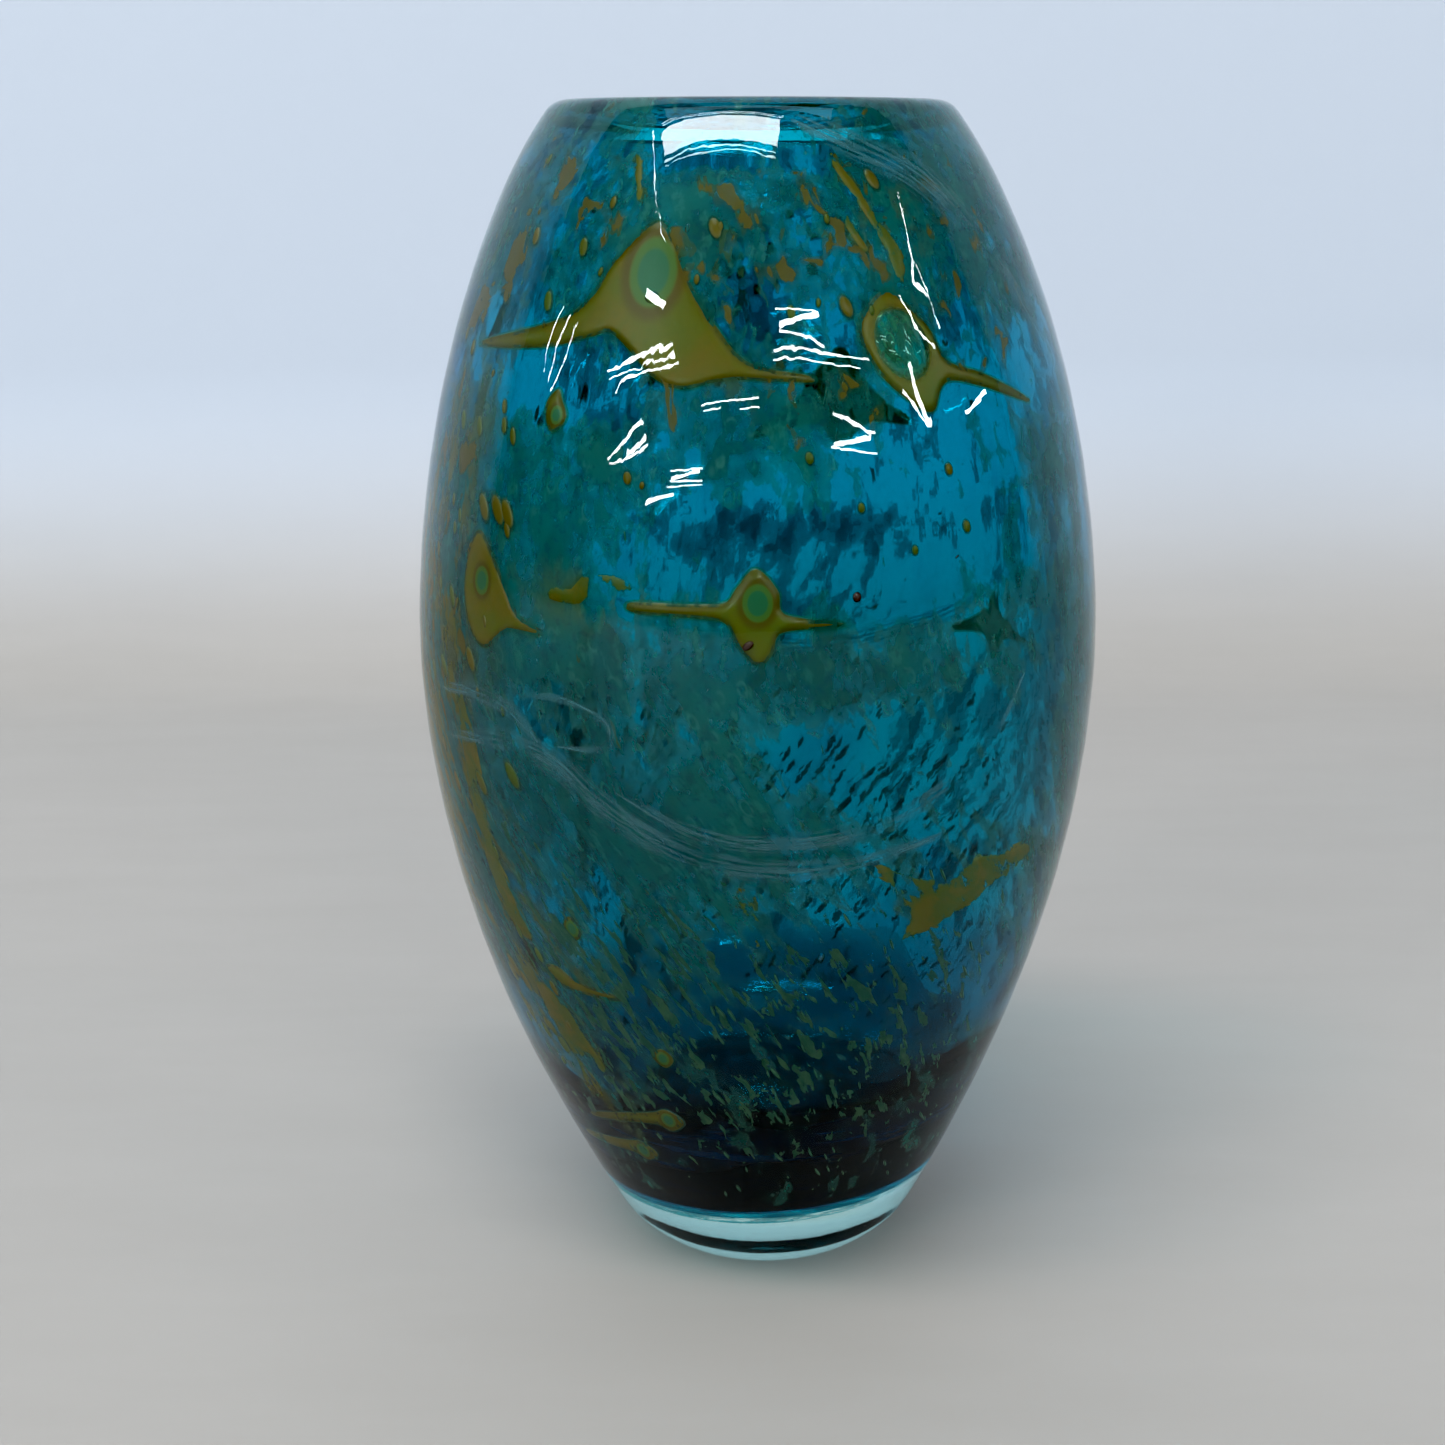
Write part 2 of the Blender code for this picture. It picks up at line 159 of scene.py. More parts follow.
def closed_faces(rows, count):
    """Faces between the rings, and fans to the two end points that follow them."""
    end = rows * count
    fans = [(end, i, (i + 1) % count) for i in range(count)]
    fans += [(end + 1, end - count + (i + 1) % count, end - count + i) for i in range(count)]
    return side_faces(rows, count) + fans


def turned_points(profile, bend):
    """Rings of points turned from a profile of (radius, height) that starts and ends on the axis."""
    rings = np.array(profile[1:-1])
    degrees = np.arange(SEGMENTS) * 360.0 / SEGMENTS
    degrees, radius = np.meshgrid(degrees, rings[:, 0])
    height = np.repeat(rings[:, 1:2], SEGMENTS, axis=1)
    radius, height = bend(degrees, radius, height)
    return degrees, radius, height


def turned(name, profile, material, bend):
    """Closed body turned from a profile; bend moves its radii and heights a little."""
    degrees, radius, height = turned_points(profile, bend)
    points = round_the_axis(degrees, radius, height).reshape(-1, 3)
    ends = [(0.0, 0.0, height[0].mean()), (0.0, 0.0, height[-1].mean())]
    faces = [face[::-1] for face in closed_faces(degrees.shape[0], SEGMENTS)]
    return new_piece(name, leaned(np.vstack((points, ends))), faces, material)


def wall_profile(depth, heights):
    return [(float(buried_radius(h, depth(h))), float(h)) for h in heights]


def corner_profile(depth, floor, corner, rows):
    """Round corner between a flat floor and the wall above it."""
    points = []
    for turn in np.linspace(0.0, 0.5 * math.pi, rows + 1)[:-1]:
        height = floor + corner * (1.0 - math.cos(turn))
        wall = float(buried_radius(height, depth(height)))
        points.append((wall - corner * (1.0 - math.sin(turn)), height))
    return points


def floor_profile(radius, height):
    """Flat floor from the axis out, but not its edge."""
    return [(0.0, height)] + [(share * radius, height) for share in (0.08, 0.3, 0.6, 0.85)]


def cup_profile(layer, top, rows):
    """Closed cup: its outside from the middle of the floor up to the rim, and its inside back."""
    sides = []
    for depth, floor in ((layer[0], layer[2]), (layer[1], layer[2] + layer[1] - layer[0])):
        corner = corner_profile(lambda h: depth, floor, CUP_CORNER, 6)
        sides.append(floor_profile(corner[0][0], floor) + corner
                     + wall_profile(lambda h: depth, np.linspace(floor + CUP_CORNER, top, rows)))
    return sides[0] + sides[1][::-1]


def clear_profile():
    """Foot, outer surface, fire-polished lip and cavity in one line."""
    points = floor_profile(FOOT_FLAT_RADIUS, 0.0) + [(FOOT_FLAT_RADIUS, 0.0)]
    for turn in np.linspace(0.0, 0.5 * math.pi, 11)[1:]:
        height = HEEL_HEIGHT * (1.0 - math.cos(turn))
        heel = float(outer_radius(height)) - FOOT_FLAT_RADIUS
        points.append((FOOT_FLAT_RADIUS + heel * math.sin(turn), height))
    points += wall_profile(lambda h: 0.0, np.linspace(HEEL_HEIGHT + 1.2, LIP_HEIGHT, 118))
    slope = float(outer_slope(LIP_HEIGHT))
    up = np.array((slope, 1.0)) / math.hypot(1.0, slope)
    inward = np.array((-up[1], up[0]))
    start = np.array((float(outer_radius(LIP_HEIGHT)), LIP_HEIGHT))
    for turn in np.linspace(0.0, math.pi, 17)[1:-1]:
        across = 0.5 * LIP_THICKNESS * (1.0 - math.cos(turn))
        along = (0.5 * LIP_THICKNESS - LIP_SETTLE) * math.sin(turn)
        points.append(tuple(start + inward * across + up * along))
    top = LIP_HEIGHT + float(inward[1]) * LIP_THICKNESS
    cavity = np.linspace(min(top, LIP_HEIGHT), CAVITY_FLOOR + CAVITY_CORNER, 96)
    points += wall_profile(cavity_depth, cavity)
    corner = corner_profile(cavity_depth, CAVITY_FLOOR, CAVITY_CORNER, 12)
    return points + corner[::-1] + floor_profile(corner[0][0], CAVITY_FLOOR)[::-1]


# ======== how the hot glass moved ========

def blown_ripple(degrees, height):
    """How far the outer surface dips below a true round, from the tools and the breath."""
    angle = np.radians(degrees)
    slow = 0.09 * (1.0 + np.sin(2.0 * angle + 1.3 + height / 37.0))
    slow += 0.05 * (1.0 + np.sin(3.0 * angle - 0.7 - height / 23.0))
    lines = 0.016 * (1.0 + np.sin(height / 1.55 + 2.2 * np.sin(2.0 * angle + height / 60.0)))
    lines += 0.03 * (1.0 + np.sin(11.0 * angle + 1.7 * np.sin(height / 14.0)))
    return slow + lines


def blown_surface(degrees, radius, height):
    """The clear surface is round at the foot and the lip, and rippled between them."""
    room = smooth_step((height - 5.0) / 20.0) * smooth_step((LIP_HEIGHT - 1.0 - height) / 18.0)
    return radius - room * blown_ripple(degrees, height), height


def colour_tilt(degrees, radius, height):
    """The cups of colour sit a little higher in the foot on one side."""
    tilt = 1.0 * np.sin(np.radians(degrees)) * smooth_step((44.0 - height) / 30.0)
    return radius, height + tilt * np.clip(radius / 20.0, 0.0, 1.0)


def ragged_top(degrees, radius, height):
    """The base cup's upper edge runs up and down where the gather was pulled."""
    angle = np.radians(degrees)
    wave = 3.6 * np.sin(2.0 * angle + 0.4) + 2.2 * np.sin(5.0 * angle + 2.0) + 1.2 * np.sin(9.0 * angle)
    height = height + wave * smooth_step((height - RAGGED_FROM) / 14.0)
    depth = 0.5 * (BASE_CUP[0] + BASE_CUP[1])
    moved = buried_radius(height, depth) - buried_radius(height - wave, depth)
    return colour_tilt(degrees, radius + moved * smooth_step((height - RAGGED_FROM) / 14.0), height)


# ======== recipes for the glass ========

class Value:
    """A socket that carries a number, so that sums on it can be written as they are read."""

    def __init__(self, recipe, socket):
        self.recipe = recipe
        self.socket = socket

    def __add__(self, other):
        return self.recipe.maths("ADD", self, other)

    __radd__ = __add__

    def __sub__(self, other):
        return self.recipe.maths("SUBTRACT", self, other)

    def __rsub__(self, other):
        return self.recipe.maths("SUBTRACT", other, self)

    def __mul__(self, other):
        return self.recipe.maths("MULTIPLY", self, other)

    __rmul__ = __mul__


class Bench:
    """A node tree and the one way to put a node in it."""

    def __init__(self, tree):
        self.tree = tree

    def node(self, kind, settings=None, inputs=None):
        """A node of this kind, with its settings, and its sockets given values or links."""
        made = self.tree.nodes.new(kind)
        for key, value in (settings or {}).items():
            setattr(made, key, value)
        for key, value in (inputs or {}).items():
            if isinstance(value, Value):
                value = value.socket
            if isinstance(value, bpy.types.NodeSocket):
                self.tree.links.new(value, made.inputs[key])
            else:
                made.inputs[key].default_value = value
        return made


class Recipe(Bench):
    """The node tree of one material."""

    def __init__(self, name):
        self.material = bpy.data.materials.new(name)
        self.material.use_nodes = True
        super().__init__(self.material.node_tree)
        self.tree.nodes.clear()

    def maths(self, operation, *terms):
        made = self.node("ShaderNodeMath", {"operation": operation}, dict(enumerate(terms)))
        return Value(self, made.outputs[0])

    def step(self, value, low, high):
        """0 below low, 1 above high, smooth between."""
        made = self.node("ShaderNodeMapRange", {"interpolation_type": "SMOOTHSTEP"},
                         {"Value": value, "From Min": low, "From Max": high, "To Min": 0.0, "To Max": 1.0})
        return Value(self, made.outputs["Result"])

    def most(self, first, second):
        return self.maths("MAXIMUM", first, second)

    def layer(self, name):
        """A number written on the piece's points."""
        made = self.node("ShaderNodeAttribute", {"attribute_name": name})
        return Value(self, made.outputs["Fac"])

    def place(self):
        return self.node("ShaderNodeTexCoord").outputs["Object"]

    def height(self):
        made = self.node("ShaderNodeSeparateXYZ", inputs={0: self.place()})
        return Value(self, made.outputs["Z"])

    def stretched(self, where, factors):
        made = self.node("ShaderNodeVectorMath", {"operation": "MULTIPLY"}, {0: where, 1: factors})
        return made.outputs[0]

    def drawn(self, where, share):
        """Pattern place drawn out along the height: less than 1 gives long upright marks."""
        return self.stretched(where, (1.0, 1.0, share))

    def flow(self):
        """Place on the vase, unwound along the twist that the hot colour took."""
        height = self.height()
        below = self.step(0.105 - height, 0.0, 0.09)
        twist = -FLOW_TWIST * below
        made = self.node("ShaderNodeVectorRotate", {"rotation_type": "Z_AXIS"},
                         {"Vector": self.place(), "Angle": twist})
        return made.outputs[0]

    def noise(self, where, scale, detail=4.0, roughness=0.55, distortion=0.0):
        made = self.node("ShaderNodeTexNoise", {"noise_dimensions": "3D"},
                         {"Vector": where, "Scale": scale, "Detail": detail,
                          "Roughness": roughness, "Distortion": distortion})
        return Value(self, made.outputs["Fac"])

    def cells(self, where, scale, feature):
        """Distance in a pattern of cells, from their middles or from their edges."""
        made = self.node("ShaderNodeTexVoronoi", {"feature": feature}, {"Vector": where, "Scale": scale})
        return Value(self, made.outputs["Distance"])

    def tint(self, factor, first, second):
        """Colour between two colours."""
        made = self.node("ShaderNodeMix", {"data_type": "RGBA"}, {0: factor, 6: first, 7: second})
        return made.outputs[2]

    def bump(self, height, distance):
        made = self.node("ShaderNodeBump", {}, {"Height": height, "Distance": distance, "Strength": 1.0})
        return made.outputs[0]

    def clear(self, colour):
        made = self.node("ShaderNodeBsdfTransparent", {}, {"Color": (*colour, 1.0)})
        return made.outputs[0]

    def body(self, colour, roughness, more=None):
        """Solid glass that light doesn't pass, or with more settings clear glass that bends it."""
        inputs = {"Base Color": colour, "Roughness": roughness, **(more or {})}
        return self.node("ShaderNodeBsdfPrincipled", {}, inputs).outputs[0]

    def glow(self, colour):
        return self.node("ShaderNodeBsdfTranslucent", {}, {"Color": colour}).outputs[0]

    def mixed(self, factor, first, second):
        made = self.node("ShaderNodeMixShader", {}, {0: factor, 1: first, 2: second})
        return made.outputs[0]

    def coloured(self, colour, roughness, through=0.35, lit=None):
        """Coloured glass that throws some light back and lets some glow through."""
        glow = self.glow(colour if lit is None else lit)
        return self.mixed(through, self.body(colour, roughness), glow)

    def laid_in(self, strength, tint, body):
        """The finished material: the body where strength is 1, and clear tinted glass where it is 0."""
        return self.done(self.mixed(strength, self.clear(tint), body))

    def let_lamps_through(self, glass, tint):
        """Glass for the eye; soft light reaches the colour behind it without bending."""
        path = self.node("ShaderNodeLightPath")
        passing = self.most(Value(self, path.outputs["Is Shadow Ray"]),
                            Value(self, path.outputs["Is Diffuse Ray"]))
        return self.mixed(passing, glass, self.clear(tint))

    def done(self, shader):
        self.node("ShaderNodeOutputMaterial", {}, {"Surface": shader})
        return self.material


FLOW_TWIST = 0.78           # how far the colour near the foot was twisted, in radians


def rgb(red, green, blue):
    return (red, green, blue, 1.0)


def clear_glass():
    """Soda glass with a breath of aqua; its surface carries faint drag lines."""
    recipe = Recipe("clear_glass")
    place = recipe.drawn(recipe.flow(), 0.12)
    drag = recipe.noise(place, 260.0, 3.0, 0.5)
    foot = 1.0 - recipe.step(recipe.height(), 0.010, 0.013)
    breath = recipe.tint(foot, rgb(0.70, 0.96, 0.95), rgb(0.47, 0.74, 0.70))
    glass = recipe.body(breath, 0.012, {"IOR": 1.5, "Transmission Weight": 1.0,
                                        "Normal": recipe.bump(drag, 0.00003)})
    return recipe.done(recipe.let_lamps_through(glass, (0.88, 0.98, 0.98)))


def turquoise_glass():
    """Clear turquoise, deeper and bluer low down, with darker strands drawn through it."""
    recipe = Recipe("turquoise_glass")
    flow = recipe.flow()
    cloud = recipe.noise(recipe.drawn(flow, 0.6), 42.0, 4.0, 0.55, 0.6)
    low = recipe.step(0.080 - recipe.height(), 0.0, 0.05)
    deep = recipe.step(cloud + 0.22 * low, 0.50, 0.70)
    strand = recipe.noise(recipe.drawn(flow, 0.17), 300.0, 5.0, 0.62)
    spots = recipe.step(recipe.noise(recipe.drawn(flow, 0.5), 62.0, 2.0), 0.47, 0.60)
    streak = recipe.step(strand, 0.54, 0.68) * (0.10 + 0.45 * spots)
    strands = recipe.mixed(streak, recipe.clear((0.11, 0.785, 0.862)),
                           recipe.clear((0.06, 0.675, 0.765)))
    return recipe.done(recipe.mixed(deep, strands, recipe.clear((0.05, 0.70, 0.80))))


def amethyst_glass():
    """Violet so dark that it reads as black, with cobalt showing between its bands."""
    recipe = Recipe("amethyst_glass")
    place = recipe.place()
    apart = recipe.node("ShaderNodeSeparateXYZ", inputs={0: place})
    front = 1.0 - recipe.step(Value(recipe, apart.outputs["Y"]), -0.012, 0.012)
    band = recipe.noise(recipe.drawn(place, 3.0), 34.0, 3.0, 0.5, 0.6)
    height = recipe.height() + 0.011 * (band - 0.5) + 0.007 * (1.0 - front)
    tilt = Value(recipe, apart.outputs["X"]) * 0.12
    lower = 1.0 - recipe.step(height - tilt, 0.0215, 0.0235)
    upper = recipe.step(height - tilt, 0.0285, 0.0300)
    upper = upper * (1.0 - recipe.step(height - tilt, 0.0330, 0.0355))
    dark = recipe.most(lower, upper * front * recipe.step(band, 0.42, 0.50))
    fade = recipe.step(recipe.height(), 0.029, 0.038)
    drawn = recipe.noise(recipe.drawn(place, 7.0), 90.0, 4.0, 0.6, 0.4)
    lines = recipe.step(drawn, 0.45, 0.62)
    shine = recipe.tint(lines, rgb(0.001, 0.018, 0.038), rgb(0.005, 0.100, 0.190))
    cobalt = recipe.coloured(shine, 0.4, 0.5)
    blue = recipe.mixed(fade, recipe.clear((0.12, 0.68, 0.70)), recipe.clear((0.66, 0.96, 0.93)))
    blue = recipe.mixed(0.60 * (1.0 - fade) * front, blue, cobalt)
    shimmer = recipe.step(drawn, 0.5, 0.66)
    violet = recipe.tint(shimmer, rgb(0.002, 0.001, 0.003), rgb(0.014, 0.006, 0.040))
    dense = recipe.mixed(0.35, recipe.clear((0.05, 0.012, 0.07)), recipe.body(violet, 0.4))
    return recipe.done(recipe.mixed(dark, blue, dense))


def sage_frit():
    """Grey-green frit, rolled on and pulled: lacy where it is thin, cloudy where it is thick."""
    recipe = Recipe("sage_frit")
    flow = recipe.flow()
    pulled = recipe.drawn(flow, 0.45)
    cover = recipe.layer("cover")
    cloud = recipe.noise(pulled, 95.0, 6.0, 0.62, 0.5)
    grain = recipe.noise(pulled, 430.0, 4.0, 0.62)
    drip = recipe.noise(recipe.drawn(flow, 0.15), 340.0, 3.0, 0.55)
    edges = recipe.cells(recipe.drawn(flow, 0.6), 360.0, "DISTANCE_TO_EDGE")
    web = 1.0 - recipe.step(edges, 0.02, 0.16)
    drawn = 0.35 + 1.45 * recipe.step(0.088 - recipe.height(), 0.0, 0.034)
    mottle = recipe.noise(recipe.drawn(flow, 0.75), 190.0, 5.0, 0.66, 0.6)
    density = cover + 1.5 * (cloud - 0.5) + 1.2 * (grain - 0.5) + drawn * (drip - 0.5)
    density = density + 1.3 * (mottle - 0.5)
    density = density + recipe.layer("lace") * 0.20 * (web - 0.35)
    seeds = recipe.cells(recipe.drawn(flow, 0.6), 430.0, "F1")
    sparse = recipe.step(recipe.noise(flow, 210.0, 2.0, 0.5), 0.52, 0.60)
    ring = recipe.step(seeds, 0.18, 0.26) * (1.0 - recipe.step(seeds, 0.28, 0.38)) * sparse
    density = density + 0.14 * ring
    frit = recipe.step(density, 0.46, 0.60)
    rim = recipe.step(density, 0.48, 0.55) * (1.0 - recipe.step(density, 0.58, 0.72))
    pale = recipe.step(recipe.noise(pulled, 620.0, 3.0, 0.6), 0.54, 0.66)
    speck = recipe.step(recipe.noise(flow, 900.0, 2.0, 0.5), 0.55, 0.66)
    bottle = recipe.step(recipe.noise(pulled, 70.0, 3.0, 0.55, 0.5), 0.52, 0.62)
    thick = recipe.step(cloud, 0.42, 0.66)
    colour = recipe.tint(thick, rgb(0.003, 0.112, 0.098), rgb(0.012, 0.160, 0.112))
    colour = recipe.tint(bottle * 0.7, colour, rgb(0.006, 0.075, 0.040))
    colour = recipe.tint(pale * 0.50, colour, rgb(0.045, 0.225, 0.160))
    colour = recipe.tint(rim * 0.60, colour, rgb(0.090, 0.285, 0.195))
    colour = recipe.tint(ring * 0.4, colour, rgb(0.10, 0.29, 0.21))
    colour = recipe.tint(speck * 0.6, colour, rgb(0.001, 0.060, 0.066))
    amber = recipe.layer("amber") * recipe.step(recipe.noise(pulled, 150.0, 4.0, 0.62), 0.46, 0.56)
    colour = recipe.tint(amber, colour, rgb(0.22, 0.155, 0.005))
    strength = frit * (0.54 + 0.34 * recipe.step(density, 0.62, 1.0) + 0.10 * pale)
    long_drip = recipe.noise(recipe.drawn(flow, 0.27), 540.0, 3.0, 0.6, 0.35)
    fleck = recipe.step(long_drip + 0.16 * (recipe.layer("drips") - 1.0), 0.547, 0.575)
    grainy = recipe.step(grain, 0.42, 0.62)
    olive = recipe.tint(grainy, rgb(0.040, 0.130, 0.066), rgb(0.092, 0.175, 0.085))
    colour = recipe.tint(fleck, colour, olive)
    blob = recipe.noise(recipe.drawn(flow, 0.60), 270.0, 3.0, 0.5, 0.5)
    blob = blob + 0.20 * (recipe.layer("specks") - 1.0)
    halo = recipe.step(blob, 0.548, 0.568)
    middle = recipe.step(blob, 0.582, 0.610)
    colour = recipe.tint(halo * (1.0 - middle), colour, rgb(0.075, 0.130, 0.050))
    colour = recipe.tint(middle, colour, rgb(0.215, 0.125, 0.003))
    # Painted light: below about 11.7 mm, on the cup's underside, the frit is painted bright teal and given
    # a teal emission. This stands in for the light that the clear foot gathers and bends onto it.
    below = 1.0 - recipe.step(recipe.height(), 0.0114, 0.0120)
    colour = recipe.tint(below, colour, rgb(0.16, 0.85, 0.95))
    own = recipe.most(fleck, recipe.most(halo, amber))
    lit = recipe.tint(0.40 * (1.0 - own), colour, rgb(0.015, 0.48, 0.47))
    painted_foot_glow = recipe.tint(below, rgb(0.0, 0.0, 0.0), rgb(0.004, 0.085, 0.115))
    skin = recipe.body(colour, 0.45, {"Emission Color": painted_foot_glow, "Emission Strength": 1.0})
    body = recipe.mixed(0.5, skin, recipe.glow(lit))
    marks = recipe.most(0.88 * fleck, recipe.most(0.55 * halo, 0.9 * middle))
    strength = recipe.most(strength, marks)
    strength = strength * (1.0 - 0.82 * recipe.layer("inner"))
    return recipe.laid_in(strength, (0.97, 1.0, 1.0), body)


def ochre_colour(recipe, flow, inset):
    """Olive inside, amber towards the edge."""
    cloud = recipe.noise(flow, 110.0, 4.0, 0.55, 0.8)
    fine = recipe.noise(flow, 620.0, 3.0, 0.6)
    cloudy = recipe.step(cloud, 0.35, 0.66)
    colour = recipe.tint(cloudy, rgb(0.180, 0.152, 0.001), rgb(0.235, 0.142, 0.001))
    colour = recipe.tint(recipe.step(fine, 0.45, 0.75) * 0.35, colour, rgb(0.13, 0.13, 0.003))
    return recipe.tint(1.0 - recipe.step(inset, 0.35, 1.2), colour, rgb(0.15, 0.092, 0.002))


def ochre_glass():
    """Melted chips with an eye of greener glass, and a pale halo where they meet the frit."""
    recipe = Recipe("ochre_glass")
    inset = recipe.layer("inset")
    eye = recipe.layer("eye")
    colour = ochre_colour(recipe, recipe.flow(), inset)
    iris = recipe.step(eye, 0.34, 0.46)
    colour = recipe.tint(recipe.step(eye, 0.02, 0.30) * (1.0 - iris), colour, rgb(0.155, 0.088, 0.002))
    colour = recipe.tint(iris, colour, rgb(0.12, 0.19, 0.035))
    colour = recipe.tint(recipe.step(eye, 0.54, 0.64), colour, rgb(0.050, 0.165, 0.072))
    halo = 1.0 - recipe.step(inset, 0.14, 0.32)
    colour = recipe.tint(halo, colour, rgb(0.09, 0.22, 0.16))
    lit = recipe.tint(0.35, colour, rgb(0.42, 0.34, 0.005))
    body = recipe.coloured(colour, 0.3, 0.35, lit)
    strength = (0.93 - 0.5 * halo) * (1.0 - 0.93 * recipe.layer("open"))
    strength = strength * (1.0 - 0.85 * recipe.layer("inner"))
    return recipe.laid_in(strength, (0.95, 1.0, 0.8), body)


def streaked_ochre():
    """Ochre that was dragged out thin: it breaks up into streaks with turquoise between them."""
    recipe = Recipe("streaked_ochre")
    inset = recipe.layer("inset")
    flow = recipe.flow()
    pulled = recipe.noise(recipe.drawn(flow, 0.30), 400.0, 5.0, 0.62, 0.4)
    patch = recipe.noise(flow, 210.0, 4.0, 0.6, 0.4)
    held = recipe.layer("held") * recipe.step(inset, 0.0, 1.3)
    density = held + 3.0 * (pulled - 0.5) + 3.4 * (patch - 0.5)
    dense = recipe.step(density, 0.42, 0.75)
    colour = recipe.tint(dense, rgb(0.050, 0.135, 0.045), rgb(0.15, 0.140, 0.005))
    colour = recipe.tint(recipe.step(patch, 0.5, 0.62), colour, rgb(0.22, 0.145, 0.003))
    body = recipe.coloured(colour, 0.35)
    strength = 0.9 * recipe.step(density, 0.38, 0.5) * (1.0 - 0.85 * recipe.layer("inner"))
    return recipe.laid_in(strength, (1.0, 1.0, 0.98), body)


def sage_fleck():
    """Single grains of frit, soft at the rim."""
    recipe = Recipe("sage_fleck")
    grain = recipe.noise(recipe.flow(), 700.0, 3.0, 0.6)
    colour = recipe.tint(recipe.step(grain, 0.4, 0.65), rgb(0.042, 0.135, 0.075), rgb(0.095, 0.19, 0.10))
    body = recipe.coloured(colour, 0.4)
    soft = recipe.step(recipe.layer("inset"), 0.05, 0.5)
    return recipe.laid_in(0.85 * soft, (1.0, 1.0, 1.0), body)


def milk_wisp():
    """Thin veil of milky glass drawn out in the casing, in fine lines along its run."""
    recipe = Recipe("milk_wisp")
    run = recipe.node("ShaderNodeCombineXYZ", {},
                      {"X": recipe.layer("side"), "Y": recipe.layer("along")})
    strand = recipe.noise(recipe.stretched(run.outputs[0], (1.0, 0.05, 1.0)), 2.6, 4.0, 0.6, 0.3)
    patch = recipe.noise(recipe.place(), 120.0, 3.0, 0.5)
    colour = recipe.tint(strand, rgb(0.10, 0.22, 0.25), rgb(0.24, 0.40, 0.43))
    soft = recipe.step(recipe.layer("inset"), 0.0, 0.8) * recipe.step(strand, 0.38, 0.58)
    soft = soft * recipe.step(patch, 0.36, 0.56)
    body = recipe.coloured(colour, 0.5, 0.5)
    return recipe.laid_in(0.56 * soft, (1.0, 1.0, 1.0), body)


def air_bubble():
    """Air shut in the glass: its skin bends light the other way."""
    recipe = Recipe("air_bubble")
    air = recipe.body(rgb(0.97, 1.0, 1.0), 0.0, {"IOR": 0.67, "Transmission Weight": 1.0})
    return recipe.done(recipe.let_lamps_through(air, (1.0, 1.0, 1.0)))


def dark_seed():
    """Stony brown crumb that didn't melt."""
    recipe = Recipe("dark_seed")
    grain = recipe.noise(recipe.place(), 900.0, 3.0, 0.6)
    colour = recipe.tint(grain, rgb(0.030, 0.006, 0.004), rgb(0.075, 0.020, 0.008))
    return recipe.done(recipe.body(colour, 0.3))


def floor_finish():
    """Pale board underfoot, paler up the wall."""
    recipe = Recipe("studio_floor")
    grain = recipe.noise(recipe.stretched(recipe.place(), (0.25, 1.0, 1.0)), 60.0, 4.0, 0.6)
    board = recipe.tint(grain, rgb(0.42, 0.395, 0.365), rgb(0.46, 0.435, 0.405))
    rise = recipe.step(recipe.height(), 0.0, 0.09)
    colour = recipe.tint(rise, board, rgb(0.63, 0.70, 0.80))
    return recipe.done(recipe.body(colour, 0.6))


# ======== the layers ========

def soft_spots(degrees, height, spots):
    """Sum of soft oval spots: (degrees, height, half width, half height, lean, amount)."""
    total = np.zeros_like(degrees)
    for middle, level, wide, tall, lean, amount in spots:
        across = (degrees - middle + 180.0) % 360.0 - 180.0
        up = height - level - lean * across
        total += amount / (1.0 + (across / wide) ** 4 + (up / tall) ** 4)
    return total


# Openings in the frit where the turquoise shows clear, and banks where it lies thick, as
# soft_spots takes them.
FRONT_SPOTS = [
    (20, 113, 25, 7.5, 0, -0.45), (43, 86, 12, 10, 0, -0.45), (-40, 131.5, 17, 4.5, 0, -0.45),
    (-10, 112, 9, 5, 0, -0.3), (-4, 120, 30, 5, 0, 0.22), (1.5, 141, 3.5, 3.2, 0, -0.6),
    (29, 126, 9, 3.6, 0, -0.45), (57, 131, 12, 6, 0, -0.45), (-34, 90.5, 7, 4, 0, -0.1),
    (-5, 159.5, 24, 4, 0, -0.3),
    (28, 52, 18, 13, 0.25, -0.45), (12, 85, 16, 6, 0, -0.28), (-62, 140, 12, 8, 0, -0.2),
    (-38, 112, 13, 11, 0, 0.16), (-32, 100, 20, 5, 0, 0.22), (10, 97, 34, 3.6, 0.02, 0.34),
    (-26, 79, 26, 9, 0, 0.22), (4, 128.5, 20, 3.0, 0, 0.34), (8, 148, 26, 7, 0, 0.10),
    (50, 148, 20, 10, 0, 0.2), (60, 105, 12, 30, 0, 0.2), (-66, 85, 12, 45, 0, 0.32),
    (-46, 48, 14, 18, -0.9, 0.15), (-12, 76, 30, 6, 0.05, 0.2), (-18, 150, 14, 8, 0, 0.15),
]
BACK_SPOTS = [
    (180, 112, 26, 9, 0, -0.55), (132, 90, 16, 12, 0, -0.5), (228, 92, 15, 9, 0, -0.5),
    (204, 141, 14, 5, 0, -0.45), (150, 143, 12, 5, 0, -0.4), (172, 62, 26, 12, 0.2, -0.4),
    (108, 120, 12, 8, 0, -0.4), (252, 122, 12, 8, 0, -0.4), (160, 99, 30, 3.4, 0.04, 0.34),
    (212, 118, 12, 8, 0, 0.22), (120, 76, 22, 7, 0, 0.2), (236, 72, 20, 9, 0, 0.22),
    (188, 129, 26, 3, 0, 0.32), (100, 146, 18, 8, 0, 0.18), (262, 148, 16, 8, 0, 0.16),
]
LACE_SPOTS = [(12, 146, 40, 12, 0, 0.9), (45, 130, 20, 16, 0, 0.8), (-20, 118, 16, 12, 0, 0.5),
              (30, 98, 22, 4, 0, 0.8), (180, 140, 60, 16, 0, 0.8)]
